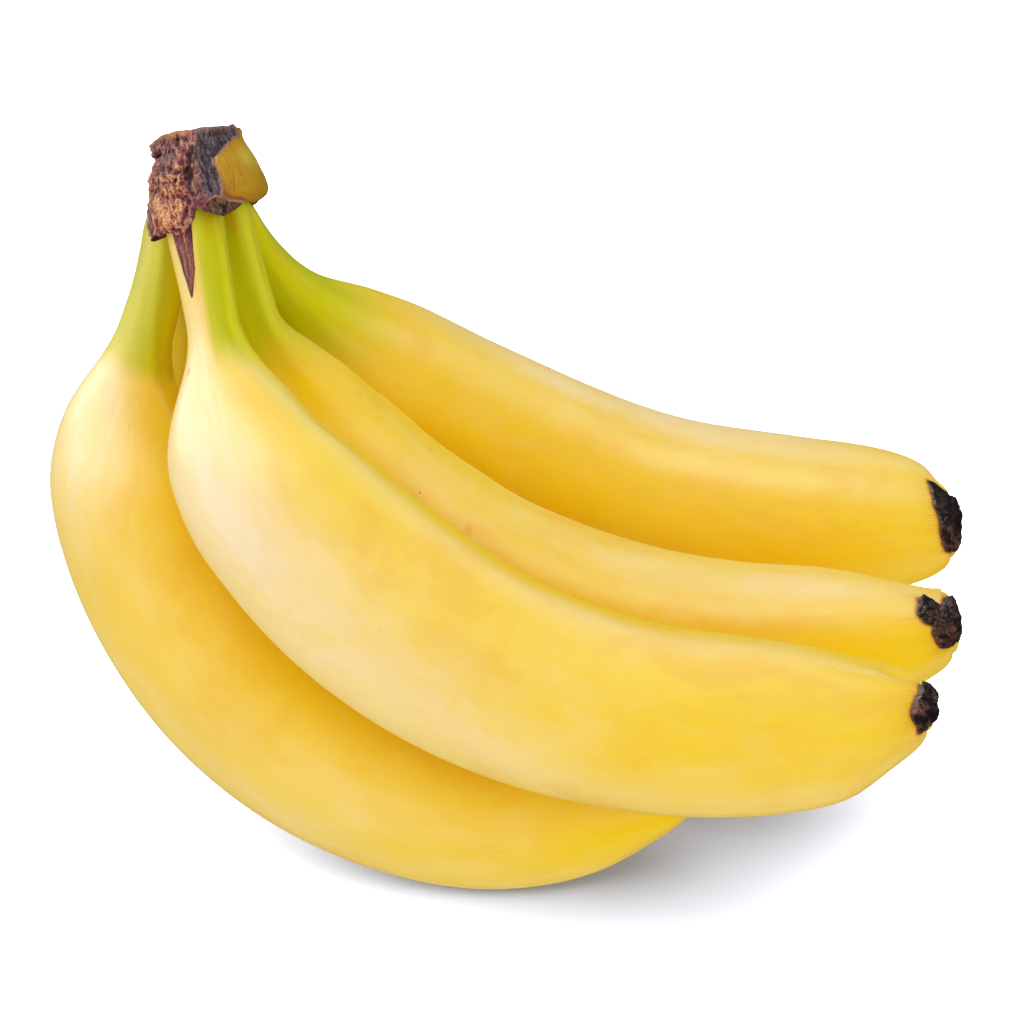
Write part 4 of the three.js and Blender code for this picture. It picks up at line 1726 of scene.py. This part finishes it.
    def specked(self, g: Graph, flow: Socket, mark: Sockets, noise: Sockets,
                colour: object) -> Socket:
        """Breathing pores with dark middles, tiny specks and the bruises.

        Args:
            g: the material's graph.
            flow: place on the unrolled peel, in millimetres.
            mark: what the peel stores, by name.
            noise: the noise sockets, by name.
            colour: the peel beneath.

        Returns:
            The colour socket.
        """
        pore, tint = g.cells(flow, 0.14)
        chosen = g.span(tint, 0.62, 0.7)
        tiny, _ = g.cells(flow, 0.7)
        bruise = g.times(g.span(mark["brown"], 0.0, 0.5), g.span(noise["mottle"], 0.35, 0.62, 0.35, 1.0), 0.7)
        return g.coats(
            colour,
            (g.times(g.span(pore, 0.06, 0.03), chosen, 0.6), self.amber),
            (g.times(g.span(pore, 0.035, 0.015), chosen, 0.5), self.brown),
            (g.times(g.span(noise["fine"], 0.5, 0.75), 0.12), self.golden_and_shade),
            (g.times(g.span(tiny, 0.14, 0.06), g.span(noise["patch"], 0.5, 0.7), 0.22), self.amber),
            (bruise, self.amber),
            (g.span(mark["brown"], 0.4, 1.0), self.brown),
        )

    def build(self) -> Material:
        """The material, which reads what the peel stores: its flow, ridges, tints, painted shade, painted
        highlight, bruises and scorches.
        """
        g = Graph("peel")
        flow = g.attribute("flow", vector=True)
        mark = {name: g.attribute(name) for name in Peel.MARKS}
        noise = self.noises(g, flow)
        colour = g.coats(
            self.body(g, mark, noise),
            (g.times(mark["trail"], 0.7), self.mint_and_highlight),
            (g.times(mark["green"], 0.95), self.neck(g, mark, noise)),
        )
        colour = self.scorched(g, mark, noise, colour)
        colour = self.specked(g, flow, mark, noise, colour)
        roughness = g.span(noise["fine"], 0.2, 0.8, self.roughness - 0.05, self.roughness + 0.07)
        g.relief((noise["patch"], 0.2), (noise["fibre"], 0.02), (noise["fine"], 0.025))
        dull = g.sum("MAXIMUM", g.times(mark["green"], 0.95), g.times(mark["painted_shade"], 0.95))
        g.feed(g.shader.inputs["Specular Tint"], g.blend(dull, self.clear, self.none))
        g.shader.inputs["Subsurface Weight"].default_value = self.glow
        g.shader.inputs["Subsurface Radius"].default_value = self.glow_reach
        g.shader.inputs["Subsurface Scale"].default_value = self.glow_scale
        return g.finish(colour, roughness, self.specular)


@dataclass(frozen=True)
class CrustFinish:
    """Dried blossom end: black and brown, fibrous, with glossy crests, rusty places, a scorched rim and black
    painted shade in its hollows.
    """

    black: Colour = srgb(34, 24, 23)
    brown: Colour = srgb(96, 62, 48)
    rust: Colour = srgb(150, 90, 56)
    tan: Colour = srgb(176, 136, 104)
    roughness: float = 0.5
    specular: float = 0.4

    def build(self) -> Material:
        """The material, which reads the crust's rim, crest, rust and the painted shade in its hollows."""
        g = Graph("crust")
        place = g.place()
        rim, crest, rust, hollow_shade = (g.attribute(name) for name in ("rim", "crest", "rust", "hollow_shade"))
        coarse = g.noise(place, 420.0, 4.0, 0.6, 0.6)
        fine = g.noise(place, 2100.0, 3.0, 0.65, 0.4)
        rusty = g.blend(g.span(fine, 0.4, 0.62), self.brown, self.rust)
        colour = g.coats(
            self.black,
            (g.times(g.span(coarse, 0.4, 0.7), g.span(crest, 0.35, 0.8)), self.brown),
            (g.times(g.span(fine, 0.52, 0.72), g.span(crest, 0.4, 0.8), 0.45), self.rust),
            (g.times(rust, g.span(crest, 0.25, 0.6), 0.9), rusty),
            (g.times(g.span(rust, 0.3, 0.9), g.span(fine, 0.58, 0.75), 0.6), self.tan),
            # black painted shade in the hollows
            (g.times(hollow_shade, 0.5), self.black),
            (g.times(rim, g.span(coarse, 0.35, 0.6, 0.3, 0.9)), self.rust),
        )
        roughness = g.span(fine, 0.3, 0.7, self.roughness - 0.2, self.roughness + 0.3)
        g.relief((coarse, 0.35), (fine, 0.14))
        return g.finish(colour, roughness, self.specular)


@dataclass(frozen=True)
class StalkFinish:
    """The crown's finish: torn fibrous scar, dark strip, waxy pad, frayed edges, dark lip and dried cut, with
    black painted shade in its creases, pits and hollows and painted highlights on the scar's crests and the
    pad.
    """

    orange: Colour = srgb(222, 128, 72)
    purple: Colour = srgb(136, 62, 72)
    # tan is painted highlight on the crests
    tan: Colour = srgb(255, 212, 150)
    plum: Colour = srgb(98, 54, 66)
    rose: Colour = srgb(176, 112, 110)
    bark: Colour = srgb(142, 108, 84)
    fray: Colour = srgb(206, 158, 132)
    slate: Colour = srgb(82, 62, 70)
    ash: Colour = srgb(136, 114, 118)
    olive: Colour = srgb(188, 158, 10)
    amber: Colour = srgb(188, 118, 12)
    straw: Colour = srgb(216, 194, 66)
    umber: Colour = srgb(104, 60, 34)
    # pitch is painted shade in creases, pits and hollows
    pitch: Colour = srgb(30, 18, 20)
    roughness: float = 0.65
    pad_roughness: float = 0.42
    specular: float = 0.3

    def scar(self, g: Graph, crest: object, mauve: object) -> Socket:
        """The torn scar: black painted shade in its deepest creases, purple in its creases, orange on its
        crests and tan painted highlight on the highest, and bruised where it is mauve.

        Args:
            g: the material's graph.
            crest: height of the relief, about 0 to 1.
            mauve: how bruised it is.

        Returns:
            The colour socket.
        """
        torn = g.coats(
            # black painted shade where the relief is lowest
            self.pitch,
            (g.span(crest, 0.0, 0.3), self.purple),
            (g.span(crest, 0.34, 0.56), self.orange),
            # tan painted highlight on the highest crests
            (g.times(g.span(crest, 0.56, 0.84), 0.85), self.tan),
        )
        bruised = g.coats(
            self.plum,
            (g.span(crest, 0.1, 0.6), self.rose),
            # tan painted highlight on the highest crests
            (g.times(g.span(crest, 0.62, 0.9), 0.6), self.tan),
        )
        return g.blend(g.times(mauve, 0.85), torn, bruised)

    def pad(self, g: Graph, streak: object, crumb: object, zone: Sockets) -> Socket:
        """The waxy pad: olive with amber streaks, a straw painted highlight on its upper right, and stained
        along its edges.

        Args:
            g: the material's graph.
            streak: long noise that runs down it.
            crumb: fine noise.
            zone: what the crown stores, by name.

        Returns:
            The colour socket.
        """
        warmth = zone["warmth"]
        return g.coats(
            self.olive,
            (g.times(g.span(streak, 0.4, 0.62), 0.5), self.amber),
            # straw painted highlight on the upper right
            (g.times(zone["pad_highlight"], 0.75), self.straw),
            (g.times(warmth, 0.8), self.amber),
            (g.times(g.span(streak, 0.5, 0.7), g.span(warmth, 0.0, 0.6, 0.15, 0.5)), self.umber),
            (g.times(g.span(warmth, 0.65, 1.0), 0.65), self.umber),
            (g.times(g.span(crumb, 0.66, 0.74), 0.35), self.umber),
        )

    def cut(self, g: Graph, crest: object, chunk: object, crumb: object) -> Socket:
        """The dried cut: brown and corky, with frayed pale places and black painted shade in its pits.

        Args:
            g: the material's graph.
            crest: height of the relief, about 0 to 1.
            chunk: coarse noise.
            crumb: fine noise.

        Returns:
            The colour socket.
        """
        return g.coats(
            self.umber,
            (g.span(crumb, 0.35, 0.65), self.bark),
            (g.times(g.span(crumb, 0.52, 0.7), g.span(chunk, 0.4, 0.7), 0.6), self.fray),
            # black painted shade in the pits
            (g.times(g.span(crest, 0.3, 0.05), 0.7), self.pitch),
        )

    def build(self) -> Material:
        """The material, which reads the crown's zones, marks and flow."""
        g = Graph("stalk")
        flow = g.attribute("flow", vector=True)
        zone = {name: g.attribute(name) for name in Crown.ZONES + Crown.MARKS}
        strand = g.noise(g.stretch(flow, (2.4, 2.4, 0.5)), 1.0, 4.0, 0.65, 0.6)
        streak = g.noise(g.stretch(flow, (2.4, 2.4, 0.22)), 1.0, 4.0, 0.6)
        chunk = g.noise(flow, 0.3, 4.0, 0.6)
        crumb = g.noise(flow, 3.0, 3.0, 0.7, 0.5)
        strand_rise = g.sum("SUBTRACT", strand, 0.5)
        crest = g.sum("ADD", zone["crest"], g.times(g.sum("SUBTRACT", crumb, 0.5), 1.5))
        crest = g.sum("ADD", crest, g.times(strand_rise, 1.1))
        striped = g.sum("ADD", crest, g.times(strand_rise, 1.4))
        # black painted shade in the creases of the strip and the lip
        crease_shade = g.times(g.span(striped, 0.35, 0.1), 0.8)
        strip = g.coats(self.slate, (g.span(striped, 0.3, 0.95), self.ash), (crease_shade, self.pitch))
        lip = g.coats(self.umber, (g.span(striped, 0.2, 0.7), self.bark), (crease_shade, self.pitch))
        colour = g.coats(
            self.scar(g, crest, zone["mauve"]),
            (zone["strip"], strip),
            (zone["pad"], self.pad(g, streak, crumb, zone)),
            (zone["lip"], lip),
            (zone["cut"], self.cut(g, crest, chunk, crumb)),
            (g.times(zone["frill"], g.span(crumb, 0.3, 0.6, 0.3, 0.9)), self.fray),
            # black painted shade in the hollows
            (g.times(zone["hollow_shade"], 0.9), self.pitch),
        )
        rough = g.sum("SUBTRACT", 1.0, g.times(zone["pad"], 0.9))
        roughness = g.span(zone["pad"], 0.0, 1.0, self.roughness, self.pad_roughness)
        g.relief((g.times(strand, rough), 0.45), (g.times(crumb, rough), 0.3))
        return g.finish(colour, roughness, self.specular)


@dataclass(frozen=True)
class FloorFinish:
    """Pale matte floor with the faintest tooth."""

    white: Colour = srgb(100, 101, 105)
    shade: Colour = srgb(98, 99, 103)
    tooth: float = 40.0
    roughness: float = 0.9
    specular: float = 0.1

    def build(self) -> Material:
        """The material, on Object coordinates."""
        g = Graph("floor")
        grain = g.noise(g.place(), self.tooth, 2.0, 0.5)
        return g.finish(g.blend(grain, self.white, self.shade), self.roughness, self.specular)


# ---- stage ----


@dataclass
class Studio:
    """Pale floor, soft light from the upper left and a camera that looks down on the bunch.

    Places and sizes are metres, powers are watts, and the elevation is degrees above the horizon.
    """

    floor_size: float = 6.0
    world: float = 0.95
    key_power: float = 1.3
    key_size: float = 0.6
    key_place: Sequence[float] = (-0.65, -0.3, 1.1)
    fill_power: float = 0.8
    fill_size: float = 1.4
    fill_place: Sequence[float] = (0.5, -1.2, 0.7)
    sheen_power: float = 62.0
    gloss_power: float = 40.0
    gloss_place: Sequence[float] = (-0.35, -0.15, 1.6)
    sheen_size: float = 1.4
    sheen_place: Sequence[float] = (-1.25, 0.35, 0.9)
    floor_power: float = 1120.0
    floor_lamp_size: float = 5.0
    floor_lamp_place: Sequence[float] = (-0.5, 0.2, 1.5)
    glow_power: float = 1120.0
    target: Sequence[float] = (-0.00116, -0.02348, 0.0771)
    distance: float = 0.75
    elevation: float = 30.0
    lens: float = 139.5
    sensor: float = 36.0

    def lamp(self, name: str, place: Sequence[float], power: float, size: float) -> Piece:
        """A square area light that faces the bunch.

        Args:
            name: its name.
            place: where it stands, in metres.
            power: in watts.
            size: its side, in metres.

        Returns:
            The lamp.
        """
        data = bpy.data.lights.new(name, "AREA")
        data.shape = "SQUARE"
        data.size = size
        data.energy = power
        thing = bpy.data.objects.new(name, data)
        thing.location = place
        away = np.asarray(self.target) - np.asarray(place)
        pitch = math.atan2(math.hypot(away[0], away[1]), -away[2])
        thing.rotation_euler = (pitch, 0.0, math.atan2(away[1], away[0]) - math.pi / 2)
        bpy.context.scene.collection.objects.link(thing)
        return thing

    def floor(self) -> Piece:
        """A flat square under the bunch."""
        half = self.floor_size / 2
        corners = [(-half, -half, 0), (half, -half, 0), (half, half, 0), (-half, half, 0)]
        mesh = bpy.data.meshes.new("floor")
        mesh.from_pydata(corners, [], [(0, 1, 2, 3)])
        thing = bpy.data.objects.new("floor", mesh)
        thing.data.materials.append(FloorFinish().build())
        bpy.context.scene.collection.objects.link(thing)
        thing.visible_diffuse = False
        thing.visible_glossy = False
        return thing

    def camera(self) -> None:
        """The camera, level with the horizon and looking along +Y and down."""
        data = bpy.data.cameras.new("camera")
        data.lens = self.lens
        data.sensor_width = self.sensor
        data.clip_start = 0.01
        data.clip_end = 20.0
        thing = bpy.data.objects.new("camera", data)
        tilt = math.radians(self.elevation)
        back = np.array([0.0, -math.cos(tilt), math.sin(tilt)]) * self.distance
        thing.location = np.asarray(self.target) + back
        thing.rotation_euler = (math.pi / 2 - tilt, 0.0, 0.0)
        bpy.context.scene.collection.objects.link(thing)
        bpy.context.scene.camera = thing

    def sky(self) -> None:
        """Even white light from all round, which doesn't show as a gloss."""
        world = bpy.data.worlds.new("studio")
        world.use_nodes = True
        sky = world.node_tree.nodes["Background"]
        sky.inputs["Color"].default_value = (1.0, 1.0, 1.0, 1.0)
        sky.inputs["Strength"].default_value = self.world
        bpy.context.scene.world = world
        world.cycles_visibility.glossy = False

    def floor_lamps(self, floor: Piece) -> None:
        """The two lamps that light the floor alone: one casts the bunch's shadow on it and one doesn't.

        Args:
            floor: the floor.
        """
        lit = bpy.data.collections.new("lit_by_floor_lamp")
        lit.objects.link(floor)
        lamp = self.lamp("floor_lamp", self.floor_lamp_place, self.floor_power, self.floor_lamp_size)
        lamp.light_linking.receiver_collection = lit
        glow = self.lamp("floor_glow", self.floor_lamp_place, self.glow_power, self.floor_lamp_size)
        glow.light_linking.receiver_collection = lit
        glow.light_linking.blocker_collection = lit

    def build(self) -> None:
        """Sets out the world, the floor, the lamps and the camera."""
        view = bpy.context.scene.view_settings
        view.view_transform = "Standard"
        view.look = "None"
        self.sky()
        self.floor_lamps(self.floor())
        sheen = self.lamp("sheen", self.sheen_place, self.sheen_power, self.sheen_size)
        sheen.visible_diffuse = False
        gloss = self.lamp("gloss", self.gloss_place, self.gloss_power, self.sheen_size)
        gloss.visible_diffuse = False
        self.lamp("key", self.key_place, self.key_power, self.key_size)
        fill = self.lamp("fill", self.fill_place, self.fill_power, self.fill_size)
        fill.visible_glossy = False
        self.camera()


def crusts(bananas: dict[str, Finger]) -> dict[str, Crust]:
    """The five dried blossom ends.

    Args:
        bananas: the fingers, by name.

    Returns:
        The ends, by the name of their finger.
    """
    hidden = ((0, 5.6), (45, 5.0), (90, 5.8), (135, 5.4), (180, 6.0), (225, 5.2), (270, 5.6),
              (315, 5.3))
    rows = (
        Crust(
            bananas["front"], 7.0, 98.0,
            (
                (0, 4.5), (50, 4.5), (70, 6.0), (85, 6.0), (100, 4.0), (145, 5.5), (175, 8.0), (215, 6.5),
                (235, 7.0), (265, 5.5), (280, 4.0), (315, 4.0),
            ),
            thick=0.9, seed=51,
            knobs=(
                (-1.9, -1.7, 1.15, -2.2), (-3.9, -1.9, 1.1, 0.7), (-0.2, -0.4, 1.3, 0.6),
                (-2.4, 0.8, 1.2, 0.5), (-2.6, -4.4, 1.2, 0.7), (-1.4, -3.6, 0.7, -0.5),
                (1.5, 4.6, 1.8, -0.5), (2.2, -1.2, 1.2, 0.3),
            ),
            rusty=((1.6, 4.6, 2.0), (2.8, -0.5, 1.8)),
        ),
        Crust(
            bananas["middle"], 8.0, 48.0,
            (
                (0, 7.0), (25, 6.0), (40, 4.5), (50, 5.5), (75, 7.0), (100, 8.5), (150, 8.5), (180, 9.5),
                (210, 7.5), (240, 5.0), (285, 2.5), (295, 3.5), (305, 7.0), (315, 7.5), (330, 6.5),
            ),
            thick=0.75, seed=52,
            knobs=(
                (4.6, -4.9, 1.1, 0.8), (5.0, -1.6, 1.8, 0.5), (2.2, -0.6, 0.9, -0.9),
                (1.6, -2.6, 0.9, -0.5), (-2.2, -2.4, 2.0, 0.8), (-3.8, -0.4, 1.4, 0.5),
                (0.2, 1.6, 1.2, 0.4), (0.8, 5.2, 2.2, -0.35),
            ),
            rusty=((0.8, 5.4, 3.0), (-1.6, 3.4, 2.0)),
        ),
        Crust(
            bananas["back"], 8.0, 33.0,
            (
                (0, 5.0), (25, 5.0), (55, 6.0), (90, 8.0), (150, 8.5), (180, 9.5), (240, 7.0), (265, 5.5),
                (275, 6.5), (285, 11.5), (295, 9.5), (320, 7.0),
            ),
            thick=0.65, seed=53,
            knobs=(
                (0.9, 3.6, 2.1, -1.2), (4.0, 3.4, 1.1, 0.6), (-2.6, 4.6, 1.4, 0.7), (2.4, -0.4, 1.3, 0.45),
                (-0.4, -0.6, 1.3, 0.45), (-2.9, -0.6, 1.3, 0.5), (0.6, 6.6, 1.2, 0.3),
            ),
            calm=((2.8, -4.5, 3.4), (3.0, -8.0, 2.6)), rusty=((1.2, 4.4, 2.2),),
        ),
        Crust(bananas["lower_front"], 2.6, 330.0, hidden, thick=1.0, seed=54, rusty=((0.0, 0.0, 3.0),)),
        Crust(
            bananas["lower_back"], 0.5, 90.0, hidden, thick=1.2, seed=55, knobs=((0.5, 0.5, 1.8, -1.0),),
            rusty=((2.0, 2.0, 2.5),),
        ),
    )
    return {row.finger.name: row for row in rows}


def main() -> None:
    """Builds the bunch piece by piece."""
    logging.basicConfig(level=logging.INFO, format="%(name)s: %(message)s")
    Studio().build()
    bananas = fingers()
    peel, crust, stalk = PeelFinish().build(), CrustFinish().build(), StalkFinish().build()
    ends = crusts(bananas)
    for name, finger in bananas.items():
        Peel(finger, ends[name]).build(peel)
        ends[name].build(crust)
    Crown().build(stalk)
    Spike(bananas["front"]).build(stalk)


if __name__ == "__main__":
    main()
